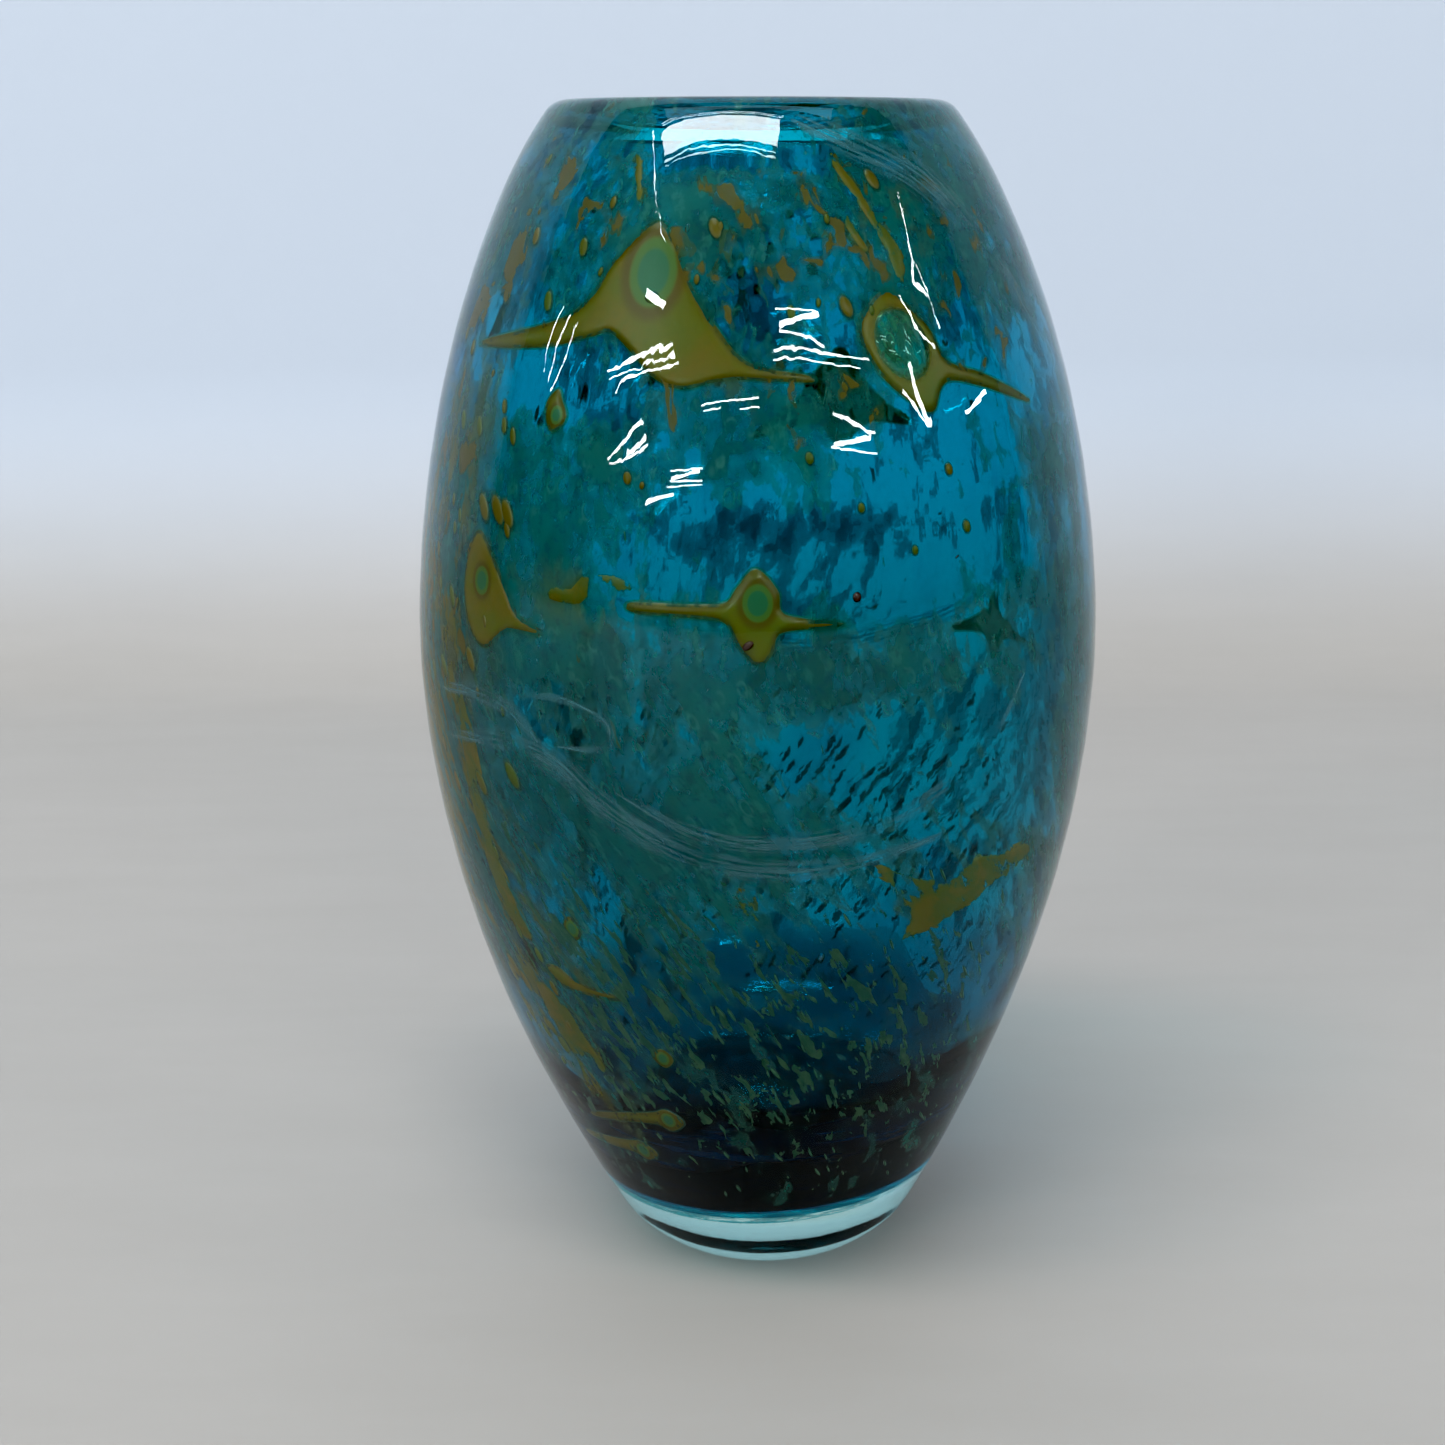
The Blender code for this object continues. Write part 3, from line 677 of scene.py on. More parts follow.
# Where the frit is stained amber, specked with ochre, or pulled into olive drips.
FINISH_SPOTS = {
    "amber": [(-66, 88, 12, 46, 0, 1.2), (-48, 48, 14, 18, -0.9, 1.2), (36, 66, 20, 4, 0.1, 0.5),
              (28, 152, 8, 9, -0.6, 0.4), (-4, 131, 12, 2, 0, 0.4), (-24, 106, 14, 3, 0, 0.5),
              (230, 66, 10, 22, 0, 0.7), (150, 118, 26, 4, 0, 0.4)],
    "specks": [(2, 149, 34, 9, 0, 1.0), (-50, 148, 16, 12, 0, 0.9), (-62, 100, 14, 40, 0, 0.9),
               (10, 128, 30, 5, 0, 0.7), (46, 146, 14, 12, 0, 0.8), (-20, 108, 18, 4, 0, 0.6),
               (190, 142, 50, 14, 0, 0.8)],
    "drips": [(-30, 56, 24, 13, -0.3, 1.0), (-8, 48, 24, 9, 0, 1.0), (20, 50, 24, 12, 0.1, 0.9),
              (-20, 36, 26, 5, 0, 0.6), (22, 30, 30, 9, 0, 0.45), (180, 50, 70, 16, 0, 0.9)],
}


def veil(material):
    """The frit veil, with how thickly the frit lies written on its points."""
    profile = cup_profile(VEIL, COLOUR_TOP, 104)
    piece = turned("frit_veil_blown", profile, material, colour_tilt)
    degrees, _, height = turned_points(profile, colour_tilt)
    degrees = np.append(degrees.ravel(), (0.0, 0.0))
    height = np.append(height.ravel(), (VEIL[2], VEIL[2]))
    cover = 0.55 + 0.07 * smooth_step((height - 130.0) / 12.0)
    cover -= 0.14 * smooth_step((66.0 - height) / 30.0) + 0.16 * smooth_step((40.0 - height) / 16.0)
    cover += soft_spots(degrees, height, FRONT_SPOTS + BACK_SPOTS)
    cover -= 1.0 * smooth_step((16.0 - height) / 3.0)
    # The frit is made solid on the cup's underside, below about 11.6 mm, to carry the painted teal glow
    # there.
    cover += 1.5 * smooth_step((11.6 - height) / 0.6)
    write_values(piece, "cover", cover)
    side = len(profile) // 2 - 1
    write_values(piece, "inner", np.append(np.repeat((0.0, 1.0), side * SEGMENTS), (0.0, 1.0)))
    write_values(piece, "lace", soft_spots(degrees, height, LACE_SPOTS))
    for finish, spots in FINISH_SPOTS.items():
        write_values(piece, finish, np.clip(soft_spots(degrees, height, spots), 0.0, 1.0))
    return piece


# ======== ochre chips ========

# Corners of each melted outline, (degrees, height), the same as the frame's.
CHIP_OUTLINES = {
    "ochre_kite_drop": [
        (-20.5, 149.5), (-28, 145), (-31, 141.5), (-35, 139), (-42, 137.2), (-59, 134.6), (-59, 134),
        (-41, 134.8), (-30.5, 136.4), (-26.5, 137), (-22, 135), (-17, 132), (-12, 130.9), (-4, 132),
        (9, 131.6), (9, 132.2), (-1, 133.8), (-7, 138), (-11.6, 142.4), (-16, 147.5)],
    "ochre_ring_drop": [
        (26.5, 141.5), (21.5, 140), (19, 137), (21.5, 132.7), (26, 129.4), (31, 127.4), (33.5, 130),
        (36.5, 130.8), (44, 129.5), (54.5, 127), (54.5, 127.5), (44, 131), (36, 133), (33, 137)],
    "ochre_eye_drop": [
        (0, 110.2), (-2.9, 108), (-4.6, 106.3), (-9, 106), (-19, 105.9), (-19, 104.9), (-9, 104.5),
        (-4.6, 103.9), (-2.8, 101.2), (0, 98.9), (2.2, 100.1), (3.8, 102.8), (12.3, 103.1),
        (12.3, 103.6), (4.2, 104.8), (3.2, 107.6)],
    "ochre_smear": [
        (-34, 107.4), (-30, 107.2), (-27, 109.3), (-20, 109.2), (-18.5, 107.4), (-21, 106.9),
        (-25, 107.6), (-28, 105), (-34, 105.2)],
    "ochre_edge_drop": [
        (-50.4, 112), (-44.7, 107.2), (-40.4, 102.7), (-36.2, 101.5), (-36.2, 100.6), (-42.6, 100.5),
        (-48.2, 97.6), (-52.4, 99.6), (-54.4, 104.2), (-53.6, 109.4)],
    "ochre_small_drip": [
        (-35.8, 130), (-37.8, 128.2), (-36.8, 125.7), (-35, 125.3), (-33.4, 127), (-34.6, 128.8)],
    "ochre_left_streak": [
        (-57, 91), (-53.5, 89), (-51, 81), (-50.8, 70), (-48, 62), (-45.6, 57.4), (-47.6, 56.6),
        (-52, 59), (-55, 66), (-56.5, 76)],
    "ochre_low_splash": [
        (-49.5, 50), (-44, 49.2), (-40, 46), (-37.5, 42), (-35, 37.8), (-36.8, 36.4), (-39.6, 38.6),
        (-41.8, 37.6), (-42, 33.6), (-44.4, 33.4), (-45, 38.5), (-47.8, 43)],
    "ochre_dot": [
        (-34.5, 62.6), (-36.3, 61), (-34.4, 59.2), (-32.7, 60.8)],
    "ochre_comet": [
        (-44, 53.2), (-41, 53.8), (-38, 52.8), (-34, 52), (-27.6, 51.5), (-27.6, 50.7),
        (-34.5, 50.6), (-38.5, 50.6), (-41.6, 51.2)],
    "ochre_seed_ring": [
        (-20.1, 43.7), (-22.3, 42.2), (-20, 40.7), (-18, 42.2)],
    "ochre_high_tadpole": [
        (-22.2, 32.6), (-26, 31.6), (-36, 29.8), (-47, 27.6), (-47, 27), (-35, 28.6), (-26, 29.6),
        (-22, 28.9), (-18.6, 30.8)],
    "ochre_low_tadpole": [
        (-33.2, 24.9), (-38, 24.2), (-56, 22), (-56, 21.2), (-38, 22.2), (-33, 21.5), (-29, 23.3)],
    "ochre_right_cloud": [
        (18, 72.8), (25, 70.6), (32, 68.4), (38, 70.4), (47, 69.8), (55, 69.4), (53.5, 65.6),
        (45, 65.2), (37, 62.6), (24.6, 60), (25.5, 64), (20.5, 69)],
    "ochre_mid_trail": [
        (-5, 71.6), (-2, 70), (0, 66), (1.6, 61), (3, 55), (1.6, 55), (-0.9, 61), (-3.8, 68)],
    "ochre_shoulder_trail": [
        (17.5, 158), (22.5, 154.8), (27, 150), (31, 146), (29.8, 142), (28, 142.4), (26.6, 146),
        (23.6, 150.2), (18.5, 155.4)],
    "ochre_shoulder_drip": [
        (17.8, 152.2), (19.6, 151.6), (21.4, 148.8), (23.6, 146.4), (22, 145.8), (18.6, 149)],
    "ochre_neck_trail": [
        (-29, 158), (-26.4, 157.6), (-25.2, 155), (-23.8, 152.4), (-26, 151.4), (-27.6, 154.6)],
    "ochre_back_drop": [
        (158, 128), (152, 122), (141, 117), (153, 116.6), (160, 112), (166, 116), (181, 113.4),
        (169, 120), (164, 125)],
    "ochre_back_eye": [
        (117, 92.3), (113.4, 89.2), (101, 87.6), (112.6, 86.2), (117, 81.8), (121.2, 85.6),
        (132, 84.4), (121.6, 88.4)],
    "ochre_back_streak": [
        (219, 84), (224, 82), (228, 70), (233, 58), (236, 48), (232.6, 48), (227, 58), (221, 70)],
}

# Eyes in the larger chips: chip, middle (degrees, height), radius.
EYES = {
    "ochre_kite_drop": (-19.2, 143.9, 5.2),
    "ochre_eye_drop": (0.2, 106.3, 3.0),
    "ochre_edge_drop": (-49.2, 106.0, 2.4),
    "ochre_dot": (-34.5, 60.9, 1.7),
    "ochre_seed_ring": (-20.1, 42.2, 1.5),
    "ochre_high_tadpole": (-22.2, 30.8, 1.7),
    "ochre_low_tadpole": (-33.2, 23.2, 1.7),
    "ochre_small_drip": (-35.2, 127.2, 1.5),
    "ochre_back_drop": (160.0, 119.5, 4.0),
    "ochre_back_eye": (117.4, 87.2, 3.0),
}
# Chips dragged out thin, and how much of their colour held together.
STREAKED = {"ochre_smear": 1.05, "ochre_left_streak": 0.84, "ochre_low_splash": 0.92,
            "ochre_right_cloud": 0.80, "ochre_mid_trail": 0.45, "ochre_back_streak": 0.70,
            "ochre_neck_trail": 0.60, "ochre_shoulder_trail": 0.80, "ochre_shoulder_drip": 0.70}
RING_CHIP = "ochre_ring_drop"
RING_BUBBLE = (27.0, 135.5, 3.9, 4.9, 28.0)   # middle (degrees, height), half width, half length, lean
CURVE_POINTS = 9            # points on the outline between two corners
CHIP_GRID = 0.55            # spacing of the points inside a chip
CHIP_OVERLAP = 0.35         # the halo reaches this far over the edge of the veil's window
CHIP_DEPTH = (2.0, 2.9)
CHIP_TAPER = 0.9            # width over which a chip thins out towards its edge


def melted_outline(corners):
    """Closed smooth curve through the corners of a chip."""
    points = []
    for i in range(len(corners)):
        four = [np.array(corners[(i + k) % len(corners)], dtype=float) for k in (-1, 0, 1, 2)]
        points += [smooth_between(step / CURVE_POINTS, *four) for step in range(CURVE_POINTS)]
    return np.array(points)


def flat_chip(corners):
    """The chip laid flat in millimetres round its middle, and what lays it back."""
    outline = melted_outline(corners)
    middle = outline.mean(axis=0)
    per_degree = math.radians(1.0) * float(buried_radius(middle[1], CHIP_DEPTH[0]))
    return (outline - middle) * (per_degree, 1.0), middle, per_degree


def edge_distance(points, outline):
    """Distance of each point to the closed outline."""
    best = np.full(len(points), 1e9)
    for start, run in zip(outline, np.roll(outline, -1, axis=0) - outline):
        share = np.clip(((points - start) @ run) / max(float(run @ run), 1e-12), 0.0, 1.0)
        best = np.minimum(best, np.hypot(*(points - start - share[:, None] * run).T))
    return best


def grown(outline, margin):
    """The outline moved outwards by a margin."""
    run = np.roll(outline, -1, axis=0) - np.roll(outline, 1, axis=0)
    run /= np.maximum(np.hypot(*run.T), 1e-9)[:, None]
    x, y = outline.T
    area = np.sum(x * np.roll(y, -1) - y * np.roll(x, -1))
    return outline + math.copysign(margin, area) * np.stack((run[:, 1], -run[:, 0]), axis=1)


def netted(rim):
    """Points and triangles that fill a flat outline evenly."""
    low, high = rim.min(axis=0), rim.max(axis=0)
    x, y = np.meshgrid(np.arange(low[0], high[0], CHIP_GRID), np.arange(low[1], high[1], CHIP_GRID))
    x = x + (np.arange(x.shape[0]) % 2)[:, None] * 0.5 * CHIP_GRID
    net = np.stack((x.ravel(), y.ravel()), axis=1)
    net = net[edge_distance(net, rim) > 0.4 * CHIP_GRID]
    loops = [list(range(len(rim)))]
    made = delaunay_2d_cdt([Vector(p) for p in np.vstack((rim, net)).tolist()], [], loops, 1, 1e-5)
    used = sorted({i for face in made[2] for i in face})
    renumber = {old: new for new, old in enumerate(used)}
    points = np.array([tuple(p) for p in made[0]])[used]
    faces = [tuple(renumber[i] for i in face) for face in made[2]]
    return points, [face if turns_left(points, face) else face[::-1] for face in faces]


def chip(node, corners, material):
    """One melted chip: two skins over a net of points, thinning out to the edge."""
    flat, middle, per_degree = flat_chip(corners)
    rim = grown(flat, CHIP_OVERLAP)
    points, faces = netted(rim)
    inset = edge_distance(points, rim)
    half = 0.5 * (CHIP_DEPTH[1] - CHIP_DEPTH[0])
    centre = CHIP_DEPTH[0] + half
    thinned = half * (1.0 - 0.8 * (1.0 - smooth_step(inset / CHIP_TAPER)))
    degrees = middle[0] + points[:, 0] / per_degree
    height = middle[1] + points[:, 1]
    skins = np.vstack((in_the_wall(degrees, height, centre - thinned),
                       in_the_wall(degrees, height, centre + thinned)))
    count = len(points)
    back = [tuple(count + i for i in face[::-1]) for face in faces]
    piece = new_piece(node + "_melted", leaned(skins), faces + back + edge_faces(faces, count), material)
    write_values(piece, "inset", np.tile(inset, 2))
    write_values(piece, "inner", np.repeat((0.0, 1.0), count))
    write_values(piece, "held", np.full(2 * count, STREAKED.get(node, 1.0)))
    eye = np.zeros(count)
    if node in EYES:
        eye_degrees, eye_height, radius = EYES[node]
        away = np.hypot((degrees - eye_degrees) * per_degree, 0.8 * (height - eye_height))
        eye = np.clip(1.0 - away / radius, 0.0, 1.0)
    write_values(piece, "eye", np.tile(eye, 2))
    opened = np.zeros(count)
    if node == RING_CHIP:
        opened = bubble_window((degrees - RING_BUBBLE[0]) * per_degree, height - RING_BUBBLE[1])
    write_values(piece, "open", np.tile(opened, 2))
    return piece


def bubble_window(across, along):
    """How open the ring chip is at a place counted from its bubble's middle."""
    lean = math.radians(RING_BUBBLE[4])
    a = (across * math.cos(lean) + along * math.sin(lean)) / RING_BUBBLE[2]
    b = (along * math.cos(lean) - across * math.sin(lean)) / RING_BUBBLE[3]
    return 1.0 - smooth_step((np.hypot(a, b) - 0.80) / 0.16)


def turns_left(points, face):
    """Whether a flat face runs round to the left."""
    a, b, c = (points[i] for i in face[:3])
    return (b[0] - a[0]) * (c[1] - a[1]) - (b[1] - a[1]) * (c[0] - a[0]) > 0.0


def edge_faces(faces, count):
    """Faces that close the gap between the front skin's open edges and the back skin's."""
    directed = {(face[k], face[(k + 1) % len(face)]) for face in faces for k in range(len(face))}
    return [(b, a, count + a, count + b) for a, b in sorted(directed) if (b, a) not in directed]


# ======== what is strewn through the glass ========

def lens_bead(name, bend, material):
    """Flat round bead, 1 mm in radius, thin at its rim; x runs across it and z along it."""
    spokes, rings = 12, 3
    points, inset, faces = [], [], []
    for side in (-1.0, 1.0):
        for ring in range(1, rings + 1):
            share = ring / rings
            for spoke in range(spokes):
                a = 2.0 * math.pi * spoke / spokes
                x, z = share * math.cos(a), share * math.sin(a)
                points.append((x + bend * z * z, side * 0.35 * math.sqrt(1.0 - 0.96 * share * share), z))
                inset.append(1.0 - share)
        points.append((0.0, side * 0.35, 0.0))
        inset.append(1.0)
    half = spokes * rings + 1
    for number, side in enumerate((-1.0, 1.0)):
        base = number * half
        for spoke in range(spokes):
            after = (spoke + 1) % spokes
            quads = [(base + ring * spokes + spoke, base + (ring + 1) * spokes + spoke,
                      base + (ring + 1) * spokes + after, base + ring * spokes + after)
                     for ring in range(rings - 1)]
            quads.append((base + half - 1, base + spoke, base + after))
            faces += [quad if side < 0.0 else quad[::-1] for quad in quads]
    rim = (rings - 1) * spokes
    for spoke in range(spokes):
        after = (spoke + 1) % spokes
        faces.append((rim + spoke, half + rim + spoke, half + rim + after, rim + after))
    bead = new_piece(name, np.array(points) * MM, faces, material)
    write_values(bead, "inset", inset)
    return bead


def strewing_tree():
    """Strews copies of one bead over a guide surface, each lying flat in it."""
    tree = bpy.data.node_groups.new("strewn_beads", "GeometryNodeTree")
    sockets = {"Geometry": "Geometry", "Bead": "Object", "Density": "Float", "Seed": "Int",
               "Smallest": "Float", "Largest": "Float", "Stretch": "Float", "Lean": "Float",
               "Material": "Material"}
    for name, kind in sockets.items():
        tree.interface.new_socket(name, in_out="INPUT", socket_type="NodeSocket" + kind)
    tree.interface.new_socket("Geometry", in_out="OUTPUT", socket_type="NodeSocketGeometry")
    node = Bench(tree).node
    given = node("NodeGroupInput").outputs
    strewn = node("GeometryNodeDistributePointsOnFaces", {},
                  {"Mesh": given["Geometry"], "Density": given["Density"], "Seed": given["Seed"]})
    place = node("ShaderNodeSeparateXYZ", {}, {0: node("GeometryNodeInputPosition").outputs[0]})
    back = node("ShaderNodeMath", {"operation": "MULTIPLY"}, {0: place.outputs["Y"], 1: -1.0})
    angle = node("ShaderNodeMath", {"operation": "ARCTAN2"}, {0: place.outputs["X"], 1: back.outputs[0]})
    facing = node("ShaderNodeCombineXYZ", {}, {"Z": angle.outputs[0]})
    upright = node("FunctionNodeAlignRotationToVector", {"axis": "Y", "pivot_axis": "X"},
                   {"Rotation": facing.outputs[0], "Vector": strewn.outputs["Normal"]})
    jitter = node("FunctionNodeRandomValue", {"data_type": "FLOAT"},
                  {"Min": -0.22, "Max": 0.22, "Seed": given["Seed"]})
    lean = node("ShaderNodeMath", {"operation": "ADD"}, {0: given["Lean"], 1: jitter.outputs[1]})
    swing = node("ShaderNodeCombineXYZ", {}, {"Y": lean.outputs[0]})
    turned_way = node("FunctionNodeRotateRotation", {"rotation_space": "LOCAL"},
                      {"Rotation": upright.outputs[0], "Rotate By": swing.outputs[0]})
    size = node("FunctionNodeRandomValue", {"data_type": "FLOAT"},
                {"Min": given["Smallest"], "Max": given["Largest"], "Seed": given["Seed"]})
    length = node("ShaderNodeMath", {"operation": "MULTIPLY"}, {0: size.outputs[1], 1: given["Stretch"]})
    scale = node("ShaderNodeCombineXYZ", {}, {"X": size.outputs[1], "Y": 1.0, "Z": length.outputs[0]})
    bead = node("GeometryNodeObjectInfo", {}, {"Object": given["Bead"]})
    copies = node("GeometryNodeInstanceOnPoints", {},
                  {"Points": strewn.outputs["Points"], "Instance": bead.outputs["Geometry"],
                   "Rotation": turned_way.outputs[0], "Scale": scale.outputs[0]})
    real = node("GeometryNodeRealizeInstances", {}, {"Geometry": copies.outputs[0]})
    dressed = node("GeometryNodeSetMaterial", {},
                   {"Geometry": real.outputs[0], "Material": given["Material"]})
    node("NodeGroupOutput", {}, {"Geometry": dressed.outputs[0]})
    return tree


def strewn(name, patch, depth, bead, material, settings):
    """Beads strewn over a patch of the wall: patch is (from, to) in degrees and in height."""
    (left, right), (low, high) = patch
    columns, rows = 24, 16
    degrees, height = np.meshgrid(np.linspace(left, right, columns), np.linspace(low, high, rows))
    points = leaned(in_the_wall(degrees.ravel(), height.ravel(), depth))
    faces = [(r * columns + c, r * columns + c + 1, (r + 1) * columns + c + 1, (r + 1) * columns + c)
             for r in range(rows - 1) for c in range(columns - 1)]
    guide = new_piece(name + "_guide", points, faces, material)
    modifier = guide.modifiers.new("strew", "NODES")
    modifier.node_group = STREWING
    sockets = STREWING.interface.items_tree
    named = {item.name: item.identifier for item in sockets if item.in_out == "INPUT"}
    for key, value in dict(settings, Bead=bead, Material=material).items():
        modifier[named[key]] = value
    shaped = guide.evaluated_get(bpy.context.evaluated_depsgraph_get())
    mesh = bpy.data.meshes.new_from_object(shaped)
    guide.modifiers.remove(modifier)
    bpy.data.objects.remove(guide)
    mesh.shade_smooth()
    mesh.name = name
    piece = bpy.data.objects.new(name, mesh)
    bpy.context.collection.objects.link(piece)
    return piece


# Name, patch (from, to in degrees and in height), depth, kind of bead, beads on a square metre,
# seed, smallest and largest radius, stretch along the flow, and lean in radians.
STREWN = [
    ("shoulder_specks", ((-26, 30), (139, 157)), 2.2, "ochre", 15000, 3, 0.30, 0.95, 1.9, 0.1),
    ("left_specks", ((-70, -28), (128, 158)), 2.2, "ochre", 8000, 5, 0.30, 0.85, 2.0, 0.0),
    ("limb_specks", ((-70, -42), (36, 128)), 2.2, "ochre", 26000, 8, 0.40, 1.25, 2.2, 0.35),
    ("front_specks", ((-30, 40), (108, 132)), 2.2, "ochre", 3000, 11, 0.3, 0.7, 1.5, 0.0),
    ("back_specks", ((120, 250), (120, 156)), 2.2, "ochre", 9000, 13, 0.3, 0.9, 1.9, 0.0),
    ("upper_flecks", ((-52, 44), (52, 70)), 2.4, "sage", 26000, 20, 0.14, 0.30, 6.0, 0.36),
    ("low_flecks", ((-48, 48), (36, 54)), 2.4, "sage", 30000, 21, 0.16, 0.36, 5.6, 0.36),
    ("base_flecks", ((-60, 70), (17, 36)), 2.4, "sage", 40000, 23, 0.13, 0.32, 4.6, 0.4),
    ("back_flecks", ((90, 270), (20, 74)), 2.4, "sage", 34000, 25, 0.22, 0.65, 3.6, 0.5),
]


def strew_everything():
    """Ochre beads and curved grains of frit, patch by patch."""
    beads = {"ochre": lens_bead("ochre_bead", 0.0, SPECK), "sage": lens_bead("sage_bead", 0.28, FLECK)}
    dress = {"ochre": (SPECK, "ochre_glass"), "sage": (FLECK, "sage_frit")}
    names = ("Density", "Seed", "Smallest", "Largest", "Stretch", "Lean")
    for name, patch, depth, kind, density, *others in STREWN:
        material, slot = dress[kind]
        settings = dict(zip(names, (float(density), *others)))
        piece = strewn(name, patch, depth, beads[kind], material, settings)
        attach(piece, "root")
    for bead in beads.values():
        bpy.data.objects.remove(bead)


def speck_glass():
    """Small ochre beads: amber in the middle, paling to green at the rim."""
    recipe = Recipe("speck_glass")
    inset = recipe.layer("inset")
    shade = recipe.noise(recipe.place(), 90.0, 2.0, 0.5)
    middle = recipe.tint(recipe.step(shade, 0.4, 0.6), rgb(0.21, 0.135, 0.006), rgb(0.13, 0.15, 0.012))
    colour = recipe.tint(recipe.step(inset, 0.12, 0.45), rgb(0.075, 0.155, 0.085), middle)
    body = recipe.coloured(colour, 0.3)
    strength = 0.30 + 0.62 * recipe.step(inset, 0.08, 0.35)
    return recipe.laid_in(strength, (1.0, 1.0, 0.95), body)


def oval(name, middle, half_width, half_length, half_depth, lean, depth, material):
    """Smooth oval body set in the wall, leaning in the wall's own surface."""
    degrees, level = middle
    spokes, rings = 40, 20
    per_degree = math.radians(1.0) * float(buried_radius(level, depth))
    turn = math.radians(lean)
    angles = np.linspace(0.0, 2.0 * math.pi, spokes, endpoint=False)
    points = []
    for tilt in np.linspace(0.0, math.pi, rings + 1)[1:-1]:
        a = half_width * math.sin(tilt) * np.cos(angles)
        b = half_length * math.sin(tilt) * np.sin(angles)
        across = a * math.cos(turn) - b * math.sin(turn)
        along = a * math.sin(turn) + b * math.cos(turn)
        layer = depth - half_depth * math.cos(tilt)
        points.append(in_the_wall(degrees + across / per_degree, level + along, layer))
    faces = closed_faces(len(points), spokes)
    for layer in (depth - half_depth, depth + half_depth):
        points.append(in_the_wall(np.array([float(degrees)]), np.array([float(level)]), layer))
    return new_piece(name, leaned(np.vstack(points)), faces, material)


def smooth_through(t, values):
    """Smooth curve through evenly spaced values."""
    padded = np.concatenate(([2.0 * values[0] - values[1]], values, [2.0 * values[-1] - values[-2]]))
    start = np.clip(np.floor(t).astype(int), 0, len(values) - 2)
    return smooth_between(t - start, *(padded[start + k] for k in range(4)))


def ribbon(name, path, width, depth, material):
    """Flat thread lying in the wall along a path of (degrees, height), pointed at both ends."""
    count, sides = 12 * (len(path) - 1) + 1, 12
    corners = np.array(path, dtype=float)
    t = np.linspace(0.0, len(path) - 1.0, count)
    track = np.stack([smooth_through(t, corners[:, axis]) for axis in (0, 1)], axis=1)
    per_degree = math.radians(1.0) * buried_radius(track[:, 1], depth)
    flat = track * (per_degree.mean(), 1.0)
    run = np.gradient(flat, axis=0)
    run /= np.hypot(*run.T)[:, None]
    half = 0.5 * width * np.sin(np.pi * np.linspace(0.02, 0.98, count)) ** 0.6
    length = np.concatenate(([0.0], np.cumsum(np.hypot(*np.diff(flat, axis=0).T))))
    rings, inset, beside = [], [], []
    for turn in 2.0 * math.pi * np.arange(sides) / sides:
        across = half * math.cos(turn)
        beside.append(across)
        inset.append(np.full(count, 1.0 - abs(math.cos(turn))))
        rings.append(in_the_wall(track[:, 0] - across * run[:, 1] / per_degree,
                                 track[:, 1] + across * run[:, 0], depth - 0.12 * math.sin(turn)))
    faces = side_faces(count, sides)
    faces.append(tuple(range(sides)))
    faces.append(tuple(reversed(range((count - 1) * sides, count * sides))))
    piece = new_piece(name, leaned(np.stack(rings, axis=1).reshape(-1, 3)), faces, material)
    for layer, values in (("inset", inset), ("side", beside), ("along", [length] * sides)):
        write_values(piece, layer, np.stack(values, axis=1).ravel())
    return piece


# Milky threads: path (degrees, height), width, depth in the wall.
WISPS = [
    ([(10, 161.5), (24, 158.5), (38, 155.0), (49, 149.5), (58, 143), (66, 134)], 6.5, 1.3),
    ([(-60, 84), (-50, 85.4), (-42, 86), (-33, 84.6), (-26, 80.6), (-16, 76), (-4, 73.0), (12, 72.4),
      (30, 75)], 5.5, 1.4),
    ([(-62, 90), (-52, 91.4), (-42, 90.6), (-36, 87)], 3.5, 1.5),
    ([(-40, 93), (-30, 93.2), (-23, 91), (-24, 87.6), (-32, 87)], 1.8, 1.2),
    ([(-22, 82), (-8, 77), (6, 76), (22, 78.4), (38, 86), (46, 94)], 3.5, 1.5),
    ([(120, 92), (140, 84), (165, 78), (190, 80), (212, 88)], 5.0, 1.4),
    ([(160, 158), (178, 154), (195, 147), (206, 138)], 6.0, 1.3),
]


def milky_threads():
    """Threads of milky glass in the clear casing."""
    material = milk_wisp()
    for number, (path, width, depth) in enumerate(WISPS):
        thread = ribbon(f"milk_thread_{number + 1}", path, width, depth, material)
        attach(thread, "root")


# Air bubbles and stony seeds: name, middle (degrees, height), half width, half length, half depth,
# lean in degrees, and depth in the wall.
BUBBLES = [
    ("ring_bubble", RING_BUBBLE[:2], RING_BUBBLE[2], RING_BUBBLE[3], 0.9, RING_BUBBLE[4], 2.5),
    ("kite_bubble", (-18.6, 141.2), 0.9, 0.7, 0.5, 0.0, 1.4),
    ("low_bubble", (10.3, 59.4), 0.5, 0.9, 0.4, -10.0, 1.3),
    ("neck_bubble", (-13.0, 149.0), 0.3, 0.5, 0.3, 0.0, 1.3),
    ("small_bubble", (36.0, 55.0), 0.25, 0.3, 0.2, 0.0, 1.3),
]
SEEDS = [
    ("dark_seed_right", (15.4, 106.5), 0.55, 0.62, 0.3, 0.0, 2.3),
    ("dark_seed_eye", (-1.3, 101.3), 0.75, 0.45, 0.3, 35.0, 1.75),
    ("dark_seed_far_right", (33.0, 110.0), 0.35, 0.12, 0.1, 30.0, 2.3),
    ("dark_seed_foot", (40.0, 6.0), 0.15, 0.15, 0.12, 0.0, 1.5),
]


def bubbles_and_seeds():
    """Air and crumbs shut in the glass."""
    kinds = ((BUBBLES, air_bubble(), "clear_glass"), (SEEDS, dark_seed(), "amethyst_glass"))
    for shapes, material, slot in kinds:
        for name, *sizes in shapes:
            piece = oval(name, *sizes, material)
            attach(piece, "root")


# ======== camera, lights and floor ========

